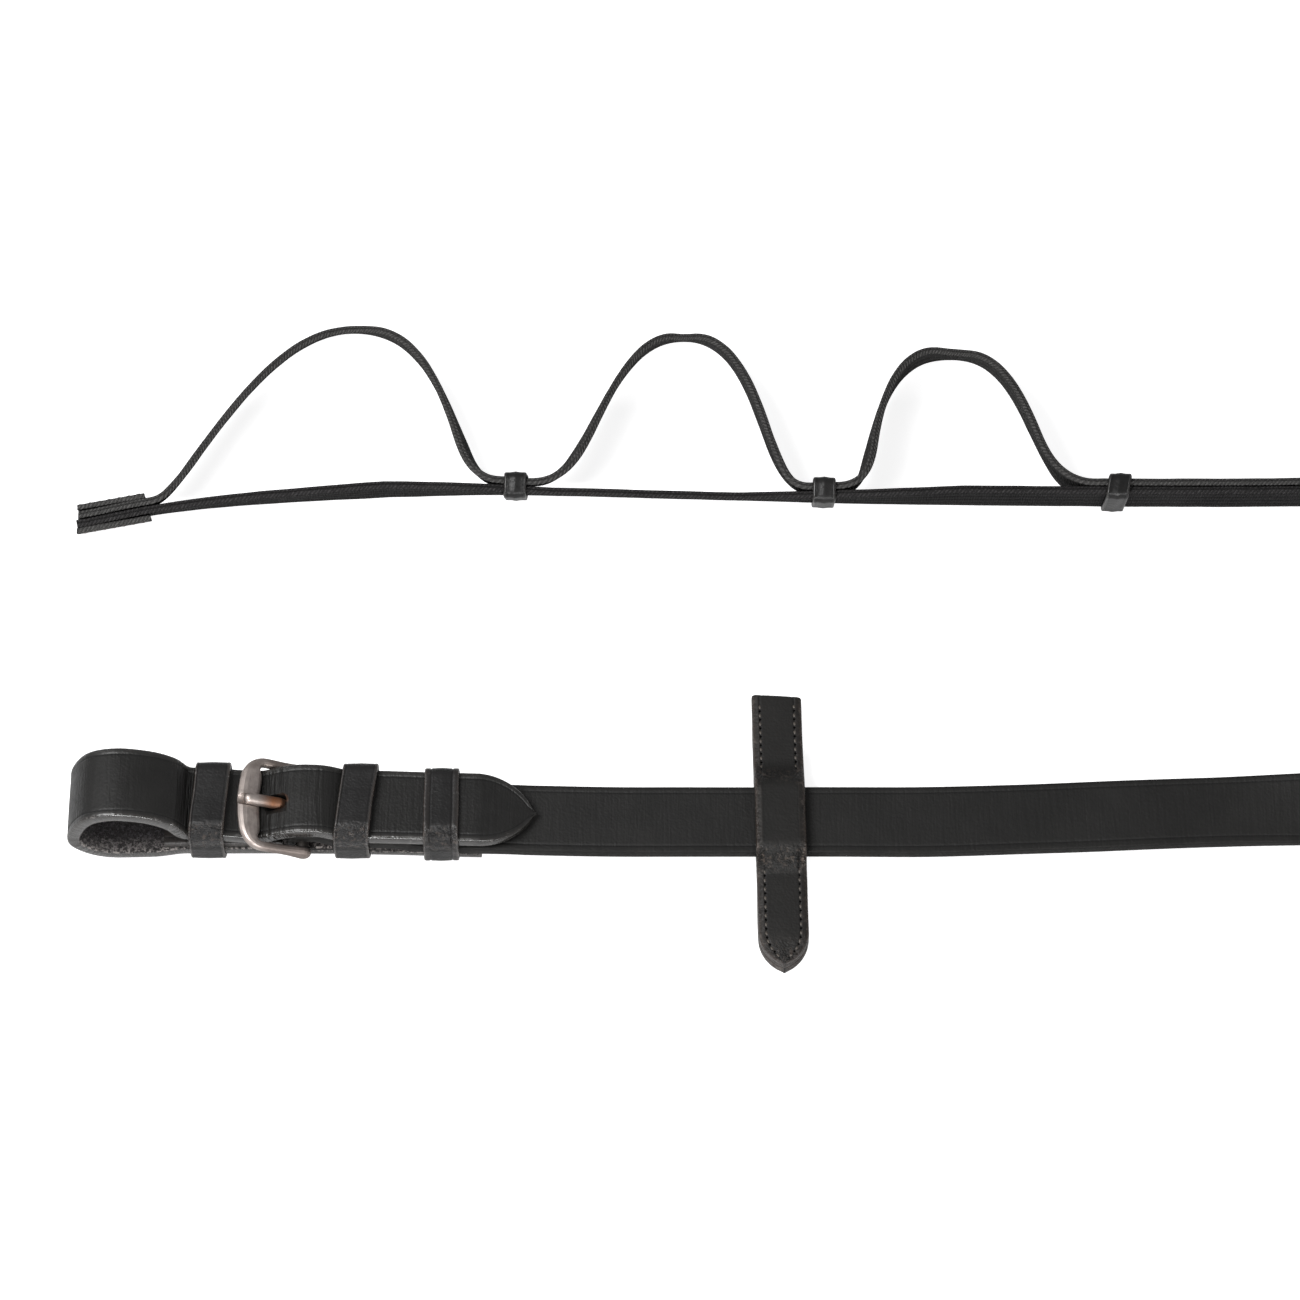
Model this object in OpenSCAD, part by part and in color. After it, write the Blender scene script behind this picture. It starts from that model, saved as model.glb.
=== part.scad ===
// One riding rein: a leather bit end with a buckled billet, a martingale stop,
// and a woven hand part with three sewn hand loops.
// The leather lies flat, twists onto its edge past the straight run, and is spliced to the
// webbing inside the turn. The webbing stands on its edge.
// Stations are distances along X from the left end of the bit loop. All sizes in millimetres.

/* [Leather straps] */
// Width of the rein
rein_w = 19.1; // [15:0.1:22]
// Width of the billet
billet_w = 19.8; // [16:0.1:24]
// Thickness of the rein
rein_t = 3; // [2.4:0.1:3.6]
// Thickness of the billet where it makes the bit loop
billet_t = 3.2; // [2.4:0.1:3.6]
// Thickness of the billet's skived tail
tail_t = 2.3; // [1.4:0.1:3]
// Bevel along the straps' edges
edge_bevel = 0.7; // [0.3:0.1:1]
// Thickness of the safe under the buckle
safe_t = 2.2; // [1.2:0.1:2.8]
// Thickness of the rein's end where it is folded round the heel bar
chape_t = 1.7; // [1:0.1:2.4]

/* [Bit end] */
// Height of the bit loop over its outside
loop_h = 24.5; // [20:0.1:32]
// Station of the safe's square end inside the bit loop
safe_start = 25.2; // [23:0.2:28]
// Station of the heel bar
heel_x = 61.2; // [58:0.2:66]
// Station where the folded end of the rein stops
chape_end = 84; // [80:0.5:88]
// Station where the strap point starts
point_start = 106.6; // [101:0.1:120]
// Length of the strap point
point_l = 14.7; // [12:0.1:26]
// Station where the billet's tail ends under the rein
tail_end = 107.8; // [104:0.2:112]
// Height of the rein's top run at the bit loop's throat
throat_z = 10.6; // [9.8:0.1:12]

/* [Keepers] */
// Thickness of the leather keepers
keeper_t = 1.2; // [0.8:0.1:1.6]
// Width of the leather keepers
keeper_w = 9; // [6:0.2:11]
// Clearance between a keeper and the straps in it
keeper_gap = 0.3; // [0.2:0.05:0.5]
// Slack in a keeper behind the straps
keeper_slack = 0.6; // [0:0.1:2.4]
// Station of the runner keeper's middle
runner_x = 37.2; // [36.8:0.1:37.6]
// Station of the fixed keeper's middle
fixed_x = 75; // [74:0.2:77]
// Station of the end keeper's middle
end_x = 97.1; // [95:0.2:97.4]
// Skew of the runner keeper, far side ahead
runner_skew = 1.4; // [0:0.1:2]
// Skew of the fixed keeper, far side ahead
fixed_skew = 2.2; // [0:0.1:2.6]

/* [Buckle] */
// Diameter of the heel bar
heel_d = 3.2; // [3:0.1:3.6]
// Play between the billet's edge and a rail
rail_play = 0.6; // [0.5:0.1:2]
// Width of a rail
rail_w = 2.3; // [2:0.1:4]
// Thickness of the frame
frame_t = 2.7; // [2.4:0.1:3]
// Width of the nose bar
nose_w = 6; // [4:0.1:6.5]
// Length from the heel bar to the middle of the nose bar
frame_l = 15.3; // [14.8:0.1:16]
// Height of the nose bar's middle above the heel bar
frame_rise = 6.2; // [6.1:0.1:6.8]
// Diameter of the tongue
tongue_d = 3.1; // [2.4:0.1:3.4]
// Running clearance between the tongue's eye and the heel bar
eye_gap = 0.06; // [0.03:0.01:0.1]

/* [Rein stop] */
// Length of the stop from its square end to its tip
stop_l = 77.2; // [60:0.2:100]
// Width of the stop
stop_w = 13; // [10:0.2:20]
// Thickness of each of the stop's two layers
stop_t = 3; // [2:0.1:4]
// Station of the stop's middle
stop_x = 185.1; // [180:0.1:192]
// Tilt of the stop away from square to the rein
stop_tilt = 0.9; // [0:0.1:1.2]
// Length of the stop's point
stop_point = 9.2; // [6:0.2:14]
// Share of the stop's length that lies behind the rein's middle
stop_back_share = 0.47; // [0.35:0.01:0.6]
// Clearance between the stop and the rein
stop_gap = 0.35; // [0.2:0.05:0.6]

/* [Hand part] */
// Width of the webbing
web_w = 16; // [12:0.5:20]
// Thickness of the main web
web_t = 2.2; // [1.6:0.1:3]
// Thickness of the loop tape
tape_t = 2; // [1.4:0.1:3]
// Lean of the standing webbing towards the front
web_lean = 31; // [20:1:34]
// Thickness of the web keepers
wrap_t = 1; // [0.8:0.1:1.6]
// Width of the web keepers
wrap_w = 5.9; // [4:0.1:8]
// Stations of the three web keepers
wrap_x = [115.2, 197.9, 276.4];
// Depth of each hand loop from the main web
loop_depth = [53.6, 50.9, 48.2];
// Length of the end sleeve
sleeve_l = 19.6; // [14:0.2:24]
// Thickness of the end sleeve
sleeve_t = 1.2; // [0.8:0.1:1.4]
// Distance that the loop tape runs on past the last keeper
tape_run_on = 84; // [40:2:90]

/* [Turn] */
// Station where the straight run ends
straight_end = 370; // [350:2:420]
// Radius of the turn
turn_r = 106; // [95:1:140]
// Radius of the two flares that lead into the turn
flare_r = 90; // [70:1:120]
// Direction of the leather's tip, seen from the middle of the turn
leather_tip = 320; // [310:1:330]
// Length of the splice between leather and webbing
splice_l = 60; // [40:1:80]
// Thickness of the splice's backing
backing_t = 1.8; // [1.2:0.1:2.6]

/* [Hidden] */

// Thin air between pieces that are sewn together, so that each stays a solid of its own
lay = 0.06;
splice_gap = 0.25;
// Length of the leather's points at the splice
splice_point = 14;
// Stations where the rein comes down off the billet's tail, and where it lies level with the stop's gap
step_x = 95;
level_x = 119;

// Plan line of the leather's middle, and how far its two ends sway back from it
rein_y = -49.9;
bit_sway = 2;
bit_sway_x = [150, 60];
turn_sway = 2;
turn_sway_x = [215, 320];

// Heights in the stack of straps, from the table up
lower_z = keeper_t + keeper_gap;
tail_top = lower_z + tail_t;
rein_z = stop_t + stop_gap;
chape_z = tail_top + lay;
rein_over_chape = chape_z + chape_t + lay;
top_z = rein_over_chape + rein_t + lay;
heel_z = chape_z + chape_t + keeper_gap + heel_d / 2;
fold_gap = 0.25;
rein_over_heel = heel_z + heel_d / 2 + fold_gap;
fold_t = rein_t - 0.5;
arch_z = rein_over_heel + fold_t + 3 * lay;
runner_top = throat_z + billet_t + keeper_gap;
keeper_top = top_z + billet_t + keeper_gap;

// The web keepers stand on the table and carry the webbing
wrap_gap = 0.25;
wrap_corner = 1.6;
pair_gap = 0.2;
pair_t = web_t + pair_gap + tape_t;
wrap_half_t = pair_t / 2 + wrap_gap + wrap_t;
wrap_half_w = web_w / 2 + wrap_gap + wrap_t;
foot_z = 2.3;
tape_foot_low = 0.6;
sleeve_start = -3.7;

// Lean of the main web along its length, as stations and degrees
lean_line = [[0, 29.5], [80, 20.5], [125, 29.5], [175, 29.5], [235, 17], [330, 16], [370, 11]];

// Plan line of the main web's foot
web_line = [[-4, 40.1], [20, 44.8], [50, 48], [106, 50.6], [165, 49.3], [220, 47.6],
    [300, 46.8], [340, 47.2], [straight_end, 47.4]];

// ---- Small functions ----
function unit(v) = v / norm(v);
function clamp01(t) = max(0, min(1, t));
function ease(t) = let (c = clamp01(t)) c * c * (3 - 2 * c);
function mix(a, b, t) = a + (b - a) * t;
function arc(c, r, a0, a1, n) = [for (i = [0:n]) c + r * [cos(mix(a0, a1, i / n)), sin(mix(a0, a1, i / n))]];

// A smooth curve through every row of a list; each row may hold any values
function knot(a, b, c, d, t) = 0.5 * (2 * b + (c - a) * t + (2 * a - 5 * b + 4 * c - d) * t * t
    + (3 * b - a - 3 * c + d) * t * t * t);
function smooth_line(q, n) = let (last = len(q) - 1) concat(
    [for (i = [0:last - 1]) for (k = [0:n - 1])
        knot(q[max(i - 1, 0)], q[i], q[i + 1], q[min(i + 2, last)], k / n)], [q[last]]);
function bezier(a, b, c, d, n) = [for (i = [0:n]) let (t = i / n, s = 1 - t)
    s * s * s * a + 3 * s * s * t * b + 3 * s * t * t * c + t * t * t * d];
function tangents(p) = [for (i = [0:len(p) - 1]) unit(p[min(i + 1, len(p) - 1)] - p[max(i - 1, 0)])];

// Half the width of an English point at a distance from its tip
function point_half(d, l, w) = let (r = (l * l + w * w / 4) / w)
    d >= l ? w / 2 : max(0.9, sqrt(r * r - (l - d) * (l - d)) - (r - w / 2));

// ---- Straps ----
// Bevelled section of a strap, across its width and through its thickness
function strap_section(w, t, bevel) = let (c = min(bevel, w / 3, t / 3), x = w / 2, y = t / 2)
    [[c - x, -y], [x - c, -y], [x, c - y], [x, y - c], [x - c, y], [c - x, y], [-x, y - c], [-x, c - y]];

// Skins a row of rings, each a list of n points, and closes both ends
module loft(rings, n) {
    last = len(rings) / n - 1;
    walls = [for (i = [0:last - 1]) for (k = [0:n - 1]) let (a = i * n + k, b = i * n + (k + 1) % n)
        each [[a, a + n, b + n], [a, b + n, b]]];
    ends = [[for (k = [0:n - 1]) k], [for (k = [0:n - 1]) last * n + n - 1 - k]];
    polyhedron(points = rings, faces = concat(walls, ends), convexity = 8);
}
// Lofts a strap along its middle line p. sides gives the direction across the strap at each point.
module strap(p, sides, widths, thicks) {
    t = tangents(p);
    loft([for (i = [0:len(p) - 1]) let (
        across = unit(sides[i] - (sides[i] * t[i]) * t[i]),
        up = cross(t[i], across))
        for (q = strap_section(widths[i], thicks[i], edge_bevel)) p[i] + q[0] * across + q[1] * up],
        len(strap_section(1, 1, 0.1)));
}

// Plan line of the leather's middle at a station
function rein_y_at(x) = rein_y
    + bit_sway * ease((bit_sway_x[0] - x) / (bit_sway_x[0] - bit_sway_x[1]))
    + turn_sway * ease((x - turn_sway_x[0]) / (turn_sway_x[1] - turn_sway_x[0]));
// The buckle stands a little in front of the rein's middle
heel_y = rein_y_at(heel_x) - 0.5;
// In the buckle and the keepers the rein lies a little in front of the billet
rein_ahead = 0.4;
rein_ahead_x = [level_x - 1, level_x - 19];
function on_rein(row) = let (ahead = ease((rein_ahead_x[0] - row[0]) / (rein_ahead_x[0] - rein_ahead_x[1])))
    [row[0], rein_y_at(row[0]) - rein_ahead * ahead, row[1]];
// The bit loop's lower run yields towards the front
loop_yield = 0.5;
yield_x = [30, 22];
yield_z = [12, 3];
function on_billet(row) = let (
    share = ease((yield_x[0] - row[0]) / (yield_x[0] - yield_x[1])) * ease((yield_z[0] - row[1]) / (yield_z[0] - yield_z[1])))
    [row[0], rein_y_at(row[0]) - loop_yield * share, row[1]];

// A flat strap through the points p, from rows of station, height of its middle, thickness and width
module flat_strap(p, rows) {
    strap(p, [for (r = rows) [0, 1, 0]], [for (r = rows) r[3]], [for (r = rows) r[2]]);
}

// ---- Billet: tail, lower run, bit loop, top run and strap point ----
lower_mid = lower_z + billet_t / 2;
top_mid = top_z + billet_t / 2;
throat_mid = throat_z + billet_t / 2;
loop_mid = loop_h - billet_t / 2;
nose_mid = throat_mid - 1.9;
arch_mid = arch_z + billet_t / 2;
// The rein's middle as it comes down behind the heel bar; the billet lies on it
crest = [
    [61.8, rein_over_heel + fold_t / 2],
    [65.2, rein_over_heel + fold_t / 2 - 0.5],
    [68.2, mix(rein_over_chape, rein_over_heel, 0.46) + rein_t / 2],
    [71.6, rein_over_chape + rein_t / 2 + 0.12],
    [76.4, rein_over_chape + rein_t / 2]];
crest_t = tangents(crest);
crest_to_top = rein_t / 2 + billet_t / 2 + 3 * lay;
function over_crest(i) = let (q = crest[i], t = crest_t[i])
    [q[0] - crest_to_top * t[1], q[1] + crest_to_top * t[0], billet_t, billet_w];
billet_rows = [
    [tail_end, lower_z + tail_t / 2, tail_t, billet_w],
    [90, lower_z + tail_t / 2, tail_t, billet_w],
    [72, lower_z + tail_t / 2, tail_t, billet_w],
    [58, lower_z + tail_t / 2, tail_t, billet_w],
    [48, lower_mid, billet_t, billet_w],
    [38, lower_mid, billet_t, billet_w],
    [30, lower_mid, billet_t, billet_w],
    [23, billet_t / 2 + 0.5, billet_t, billet_w],
    [16, billet_t / 2 + 0.1, billet_t, billet_w],
    [10.4, billet_t / 2 + 0.4, billet_t, billet_w],
    [5.6, billet_t / 2 + 2.7, billet_t, billet_w],
    [billet_t / 2 + 0.5, loop_h * 0.35, billet_t, billet_w],
    [3.5, loop_h * 0.62, billet_t, billet_w],
    [7.4, loop_mid - 2, billet_t, billet_w],
    [14, loop_mid, billet_t, billet_w],
    [22, loop_mid - 1.8, billet_t, billet_w],
    [27.4, loop_mid - 5.4, billet_t, billet_w],
    [31, throat_mid, billet_t, billet_w],
    [37, throat_mid - 0.4, billet_t, billet_w],
    [43, nose_mid + 0.25, billet_t, billet_w],
    [47, nose_mid - 0.25, billet_t, billet_w],
    [51, nose_mid - 0.35, billet_t, billet_w],
    [54.8, mix(nose_mid, arch_mid, 0.44), billet_t, billet_w],
    [58.6, mix(nose_mid, arch_mid, 0.86), billet_t, billet_w],
    [61.8, arch_mid, billet_t, billet_w],
    over_crest(1),
    over_crest(2),
    over_crest(3),
    [79, top_mid, billet_t, billet_w],
    [86, top_mid, billet_t, billet_w],
    [95, top_mid, billet_t, billet_w],
    [point_start, top_mid, billet_t, billet_w]];
point_steps = 9;
// Rows of the strap point, from height z0 and thickness t0 down to z1 and t1 at its tip
function point_rows(z0, z1, t0, t1) = [for (i = [1:point_steps]) let (d = point_l * pow(1 - i / point_steps, 2))
    [point_start + point_l - d, mix(z1, z0, pow(d / point_l, 0.8)), mix(t1, t0, d / point_l),
    2 * point_half(d, point_l, billet_w)]];
// Tongue hole, from its square near end to its leaning far end
hole_x = [51.2, 59.2];
hole_lean = 0.8;
hole_w = 4.6;
point_drop = 1.6;
point_t = 1.9;
module tongue_hole() {
    low = nose_mid - billet_t;
    high = arch_mid + billet_t;
    translate([0, heel_y + hole_w / 2, 0]) rotate([90, 0, 0]) linear_extrude(height = hole_w) polygon([
        [hole_x[0], low], [hole_x[1] + hole_lean, low], [hole_x[1] + hole_lean, arch_mid - billet_t],
        [hole_x[1] - hole_lean, high], [hole_x[0], high]]);
}
module billet() {
    rows = concat(smooth_line(billet_rows, 2), point_rows(top_mid, rein_z + rein_t + point_drop, billet_t, point_t));
    color([0.2, 0.2, 0.2])
    difference() {
        flat_strap([for (r = rows) on_billet(r)], rows);
        tongue_hole();
    }
}

// ---- Safe: the inner flap from the bit loop to the fold under the buckle ----
safe_end = heel_x - heel_d / 2 - fold_gap - rein_t - 0.5;
safe_z = lower_z + billet_t + lay;
module buckle_safe() {
    rows = smooth_line([
        [safe_start, safe_z + safe_t / 2 - 0.4, safe_t, rein_w - 1],
        [30, safe_z + safe_t / 2, safe_t, rein_w - 0.6],
        [38, safe_z + safe_t / 2, safe_t, rein_w - 0.4],
        [47, safe_z + safe_t / 2, safe_t, rein_w - 0.4],
        [safe_end, safe_z + safe_t / 2, safe_t, rein_w - 0.4]], 3);
    color([0.23, 0.2, 0.19]) flat_strap([for (r = rows) [r[0], rein_y_at(r[0]), r[1]]], rows);
}

// ---- Turn: the two flares and the round end of the rein, in plan ----
leather_y = rein_y + turn_sway;
leather_drop = flare_r - leather_y;
turn_x = straight_end + sqrt(pow(turn_r + flare_r, 2) - pow(leather_drop, 2));
leather_flare = atan2(leather_drop, turn_x - straight_end);
web_r = turn_r - (rein_t + web_t) / 2 - splice_gap;
web_rise = web_line[len(web_line) - 1][1] + flare_r;
web_straight_end = turn_x - sqrt(pow(web_r + flare_r, 2) - pow(web_rise, 2));
web_flare = atan2(web_rise, web_straight_end - turn_x);
turn_c = [turn_x, 0];
splice_a = splice_l / web_r * 180 / PI;

// Twist of the leather from flat to standing, by its length past the start of the twist
twist_x = 296;
twist_l = 134;
lift = 2.4;
leather_plan = concat(
    [for (x = [130:12:300]) [x, rein_y_at(x)]],
    [for (x = [306:8:straight_end - 2]) [x, rein_y_at(x)]],
    arc([straight_end, leather_y - flare_r], flare_r, 90, leather_flare, 9),
    [for (a = [leather_flare + 186:6:leather_tip - 12]) turn_c + turn_r * [cos(a), sin(a)]],
    [for (i = [0:7]) let (a = leather_tip - 9 * pow(1 - i / 7, 1.6)) turn_c + turn_r * [cos(a), sin(a)]]);
function run_lengths(p, i = 0, sum = 0) = i >= len(p) ? [] :
    concat([sum], i + 1 < len(p) ? run_lengths(p, i + 1, sum + norm(p[i + 1] - p[i])) : []);
leather_s = [for (s = run_lengths(leather_plan)) s + leather_plan[0][0]];
function twist_at(s) = 90 * ease((s - twist_x) / twist_l);
function leather_z(s) = let (a = twist_at(s))
    rein_w / 2 * sin(a) + (rein_t / 2 + rein_z) * cos(a)
    + lift * ease((s - turn_sway_x[0]) / (turn_sway_x[1] - turn_sway_x[0])) * (1 - sin(a));

// ---- Main rein: the fold round the heel bar, the flat run, the twist and the turn ----
fold_r0 = heel_d / 2 + fold_gap + chape_t / 2;
fold_r1 = heel_d / 2 + fold_gap + fold_t / 2;
fold_rows = [for (i = [0:6]) let (t = i / 6, a = mix(270, 96, t), r = mix(fold_r0, fold_r1, t))
    [heel_x + r * cos(a), heel_z + r * sin(a), mix(chape_t, fold_t, t), rein_w]];
chape_mid = chape_z + chape_t / 2;
main_rows = concat(
    smooth_line([
        [chape_end, chape_mid, chape_t, rein_w],
        [77, chape_mid, chape_t, rein_w],
        [71, chape_mid, chape_t, rein_w],
        [66, mix(chape_mid, heel_z - fold_r0, 0.7), chape_t, rein_w]], 2),
    fold_rows,
    smooth_line([
        [crest[1][0], crest[1][1], fold_t, rein_w],
        [crest[2][0], crest[2][1], rein_t, rein_w],
        [crest[3][0], crest[3][1], rein_t, rein_w],
        [crest[4][0], crest[4][1], rein_t, rein_w],
        [85, rein_over_chape + rein_t / 2 - 0.1, rein_t, rein_w],
        [90, mix(tail_top + lay, rein_over_chape, 0.3) + rein_t / 2, rein_t, rein_w],
        [step_x, tail_top + lay + rein_t / 2, rein_t, rein_w],
        [tail_end, tail_top + lay + rein_t / 2, rein_t, rein_w],
        [level_x, rein_z + rein_t / 2, rein_t, rein_w]], 2));
tongue_slot = [5.2, 10.4];
module main_rein() {
    flat = [for (r = main_rows) on_rein(r)];
    long = [for (i = [0:len(leather_plan) - 1]) concat(leather_plan[i], leather_z(leather_s[i]))];
    plan_t = tangents([for (q = long) [q[0], q[1]]]);
    flat_sides = [for (q = flat) [0, 1, 0]];
    long_sides = [for (i = [0:len(long) - 1]) let (a = twist_at(leather_s[i]))
        [-plan_t[i][1] * cos(a), plan_t[i][0] * cos(a), sin(a)]];
    tip_s = leather_s[len(leather_s) - 1];
    long_w = [for (s = leather_s) 2 * point_half(tip_s - s, splice_point, rein_w)];
    color([0.18, 0.18, 0.17])
    difference() {
        strap(concat(flat, long), concat(flat_sides, long_sides),
            concat([for (r = main_rows) r[3]], long_w),
            concat([for (r = main_rows) r[2]], [for (s = leather_s) rein_t]));
        translate([heel_x - tongue_slot[1] / 2 - 1, heel_y - tongue_slot[0] / 2, chape_z - 1])
            cube([tongue_slot[1], tongue_slot[0], arch_z - chape_z + 2]);
    }
}

// ---- Buckle ----
buckle_in = billet_w + 2 * rail_play;
frame_a = asin(frame_rise / frame_l);
module at_heel() {
    translate([heel_x, heel_y, heel_z]) children();
}

// The frame is one forged bar, laid out in its own plane: the nose lies towards -X, the heel bar
// on the Y axis. Half of its middle line runs from the ball at a heel end, up a rail, round the
// corner and along the bowed nose, as rows of x, y, width in the plane and thickness.
nose_r = 45;
corner_r = 3.4;
rail_flare = 0.3;
heel_ball = heel_d + 1;
function nose_x(y) = nose_r - frame_l - sqrt(nose_r * nose_r - y * y);
rail_y = (buckle_in + rail_w) / 2;
corner_c = [nose_x(rail_y + rail_flare - corner_r) + corner_r, rail_y + rail_flare - corner_r];
half_frame = concat([
    [heel_ball * 0.52, rail_y, rail_w * 0.3, heel_ball * 0.25],
    [heel_ball * 0.45, rail_y, rail_w * 0.8, heel_ball * 0.62],
    [heel_ball * 0.27, rail_y, rail_w * 1.1, heel_ball * 0.9],
    [0, rail_y, rail_w * 1.2, heel_ball],
    [-frame_l * 0.16, rail_y + rail_flare * 0.2, rail_w * 1.1, mix(heel_ball, frame_t, 0.6)],
    [-frame_l * 0.36, rail_y + rail_flare * 0.5, rail_w, frame_t],
    [mix(-frame_l * 0.36, corner_c[0], 0.55), rail_y + rail_flare * 0.8, rail_w, frame_t]],
    [for (i = [0:4]) let (q = corner_c + corner_r * [cos(90 + 20 * i), sin(90 + 20 * i)])
        [q[0], q[1], mix(rail_w, nose_w, i * i / 25), frame_t]],
    [for (share = [0.62, 0.3]) let (y = share * rail_y)
        [nose_x(y), y, mix(nose_w, rail_w, share * 0.12), frame_t]]);
last_row = len(half_frame) - 1;
frame_line = concat(half_frame, [[nose_x(0), 0, nose_w, frame_t]],
    [for (i = [last_row:-1:0]) [half_frame[i][0], -half_frame[i][1], half_frame[i][2], half_frame[i][3]]]);
// Section of the bar: an oval with slightly flat faces
bar_points = 16;
function flattened(v) = sign(v) * pow(abs(v), 0.8);
module forged_bar(rows) {
    p = [for (r = rows) [r[0], r[1], 0]];
    t = tangents(p);
    loft([for (i = [0:len(rows) - 1]) for (k = [0:bar_points - 1]) let (a = 360 * (k + 0.5) / bar_points)
        p[i] + rows[i][2] / 2 * flattened(cos(a)) * [-t[i][1], t[i][0], 0]
        + [0, 0, rows[i][3] / 2 * flattened(sin(a))]], bar_points);
}
module buckle_frame() {
    color([0.52, 0.49, 0.46])
    at_heel() {
        rotate([90, 0, 0]) cylinder(d = heel_d, h = buckle_in + rail_w, center = true, $fn = 48);
        difference() {
            rotate([0, frame_a, 0]) forged_bar(smooth_line(frame_line, 2));
            prong(tongue_d + 2 * notch_gap, nose_w / 2);
        }
    }
}

// ---- Tongue: an eye on the heel bar, a rising shank and a straight prong in the nose notch ----
notch_d = 1.1;
notch_gap = 0.2;
eye_d = heel_d + 2 * eye_gap + 2.6;
eye_w = 4.2;
prong_tip = [0.4 - frame_l * cos(frame_a), frame_rise + frame_t / 2 + tongue_d / 2 - notch_d];
elbow = [-6.2, prong_tip[1] - 2.9];
shank_foot = [-3, 2];
// Straight prong from the elbow to the tip, which may run on past it
module prong(d, past) {
    out = past * unit(prong_tip - elbow);
    hull() {
        translate([elbow[0], 0, elbow[1]]) sphere(d = d, $fn = 32);
        translate([prong_tip[0] + out[0], 0, prong_tip[1] + out[1]]) sphere(d = d, $fn = 32);
    }
}
module buckle_tongue() {
    color([0.53, 0.5, 0.48])
    at_heel() {
        difference() {
            union() {
                rotate([90, 0, 0]) cylinder(d = eye_d, h = eye_w, center = true, $fn = 48);
                hull() {
                    translate([elbow[0], 0, elbow[1]]) sphere(d = tongue_d, $fn = 32);
                    translate([shank_foot[0], 0, shank_foot[1]]) sphere(d = tongue_d, $fn = 32);
                }
                prong(tongue_d, 0);
            }
            rotate([90, 0, 0]) cylinder(d = heel_d + 2 * eye_gap, h = 3 * eye_w, center = true, $fn = 64);
        }
    }
}

// ---- Keepers ----
// Rectangle with round corners, drawn from its lower left corner
module round_rect(w, h, r) {
    translate([r, 0]) square([w - 2 * r, h]);
    translate([0, r]) square([w, h - 2 * r]);
    for (x = [r, w - r], y = [r, h - r]) translate([x, y]) circle(r = r, $fn = 48);
}
keeper_corner = 2.6;
fixed_slack = 1.5;
// Keeper over everything up to the height top; its far side stands ahead of its near side by skew
module keeper(x, top, skew) {
    in_w = billet_w + 2 * keeper_gap + keeper_slack;
    out_w = in_w + 2 * keeper_t;
    translate([x, rein_y_at(x), 0]) intersection() {
        rotate([90, 0, 90]) linear_extrude(height = 2 * keeper_w, center = true) difference() {
            translate([-out_w / 2, 0]) round_rect(out_w, top + keeper_t, keeper_corner);
            translate([-in_w / 2, keeper_t]) round_rect(in_w, top - keeper_t, keeper_corner - keeper_t);
        }
        linear_extrude(height = 2 * top) polygon([
            [-(keeper_w + skew) / 2, -out_w / 2], [(keeper_w - skew) / 2, -out_w / 2],
            [(keeper_w + skew) / 2, out_w / 2], [(skew - keeper_w) / 2, out_w / 2]]);
    }
}
module runner_keeper() {
    color([0.24, 0.23, 0.23]) keeper(runner_x, runner_top, runner_skew);
}
module fixed_keeper() {
    color([0.24, 0.23, 0.23]) keeper(fixed_x, keeper_top + fixed_slack, fixed_skew);
}
module end_keeper() {
    color([0.24, 0.23, 0.23]) keeper(end_x, keeper_top, 0);
}

// ---- Rein stop: two layers sewn together on both sides of the rein ----
stop_y0 = -stop_l * (1 - stop_back_share);
stop_y1 = stop_l * stop_back_share;
stop_corner = 1.5;
module stop_outline() {
    difference() {
        translate([-stop_w / 2, stop_y0 + stop_point]) square([stop_w, stop_l - stop_point]);
        for (s = [-1, 1]) translate([s * stop_w / 2, stop_y1]) difference() {
            square(2 * stop_corner, center = true);
            translate([-s * stop_corner, -stop_corner]) circle(r = stop_corner, $fn = 32);
        }
    }
    tip_r = (stop_point * stop_point + stop_w * stop_w / 4) / stop_w;
    intersection() {
        translate([tip_r - stop_w / 2, stop_y0 + stop_point]) circle(r = tip_r, $fn = 96);
        translate([stop_w / 2 - tip_r, stop_y0 + stop_point]) circle(r = tip_r, $fn = 96);
        translate([-stop_w / 2, stop_y0 - 1]) square([stop_w, stop_point + 1]);
    }
}
module at_stop() {
    translate([stop_x, rein_y_at(stop_x), 0]) rotate([0, 0, stop_tilt]) children();
}
bulge_half = rein_w / 2 + stop_gap;
bulge_foot = bulge_half + rein_t + 0.6;
front_z = rein_z + rein_t + stop_gap;
module stop_front() {
    base = stop_t + lay;
    far = stop_l;
    color([0.19, 0.18, 0.18])
    at_stop() intersection() {
        linear_extrude(height = 4 * stop_t + rein_t) stop_outline();
        rotate([90, 0, 90]) linear_extrude(height = 2 * stop_w, center = true) polygon([
            [-far, base], [-bulge_foot, base], [-bulge_half, front_z], [bulge_half, front_z],
            [bulge_foot, base], [far, base], [far, base + stop_t], [bulge_foot + stop_t * 0.5, base + stop_t],
            [bulge_half + stop_t * 0.55, front_z + stop_t * 0.7], [bulge_half - 0.8, front_z + stop_t],
            [0.8 - bulge_half, front_z + stop_t], [-bulge_half - stop_t * 0.55, front_z + stop_t * 0.7],
            [-bulge_foot - stop_t * 0.5, base + stop_t], [-far, base + stop_t]]);
    }
}
module stop_back() {
    color([0.17, 0.17, 0.16])
    at_stop() linear_extrude(height = stop_t) stop_outline();
}

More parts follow.
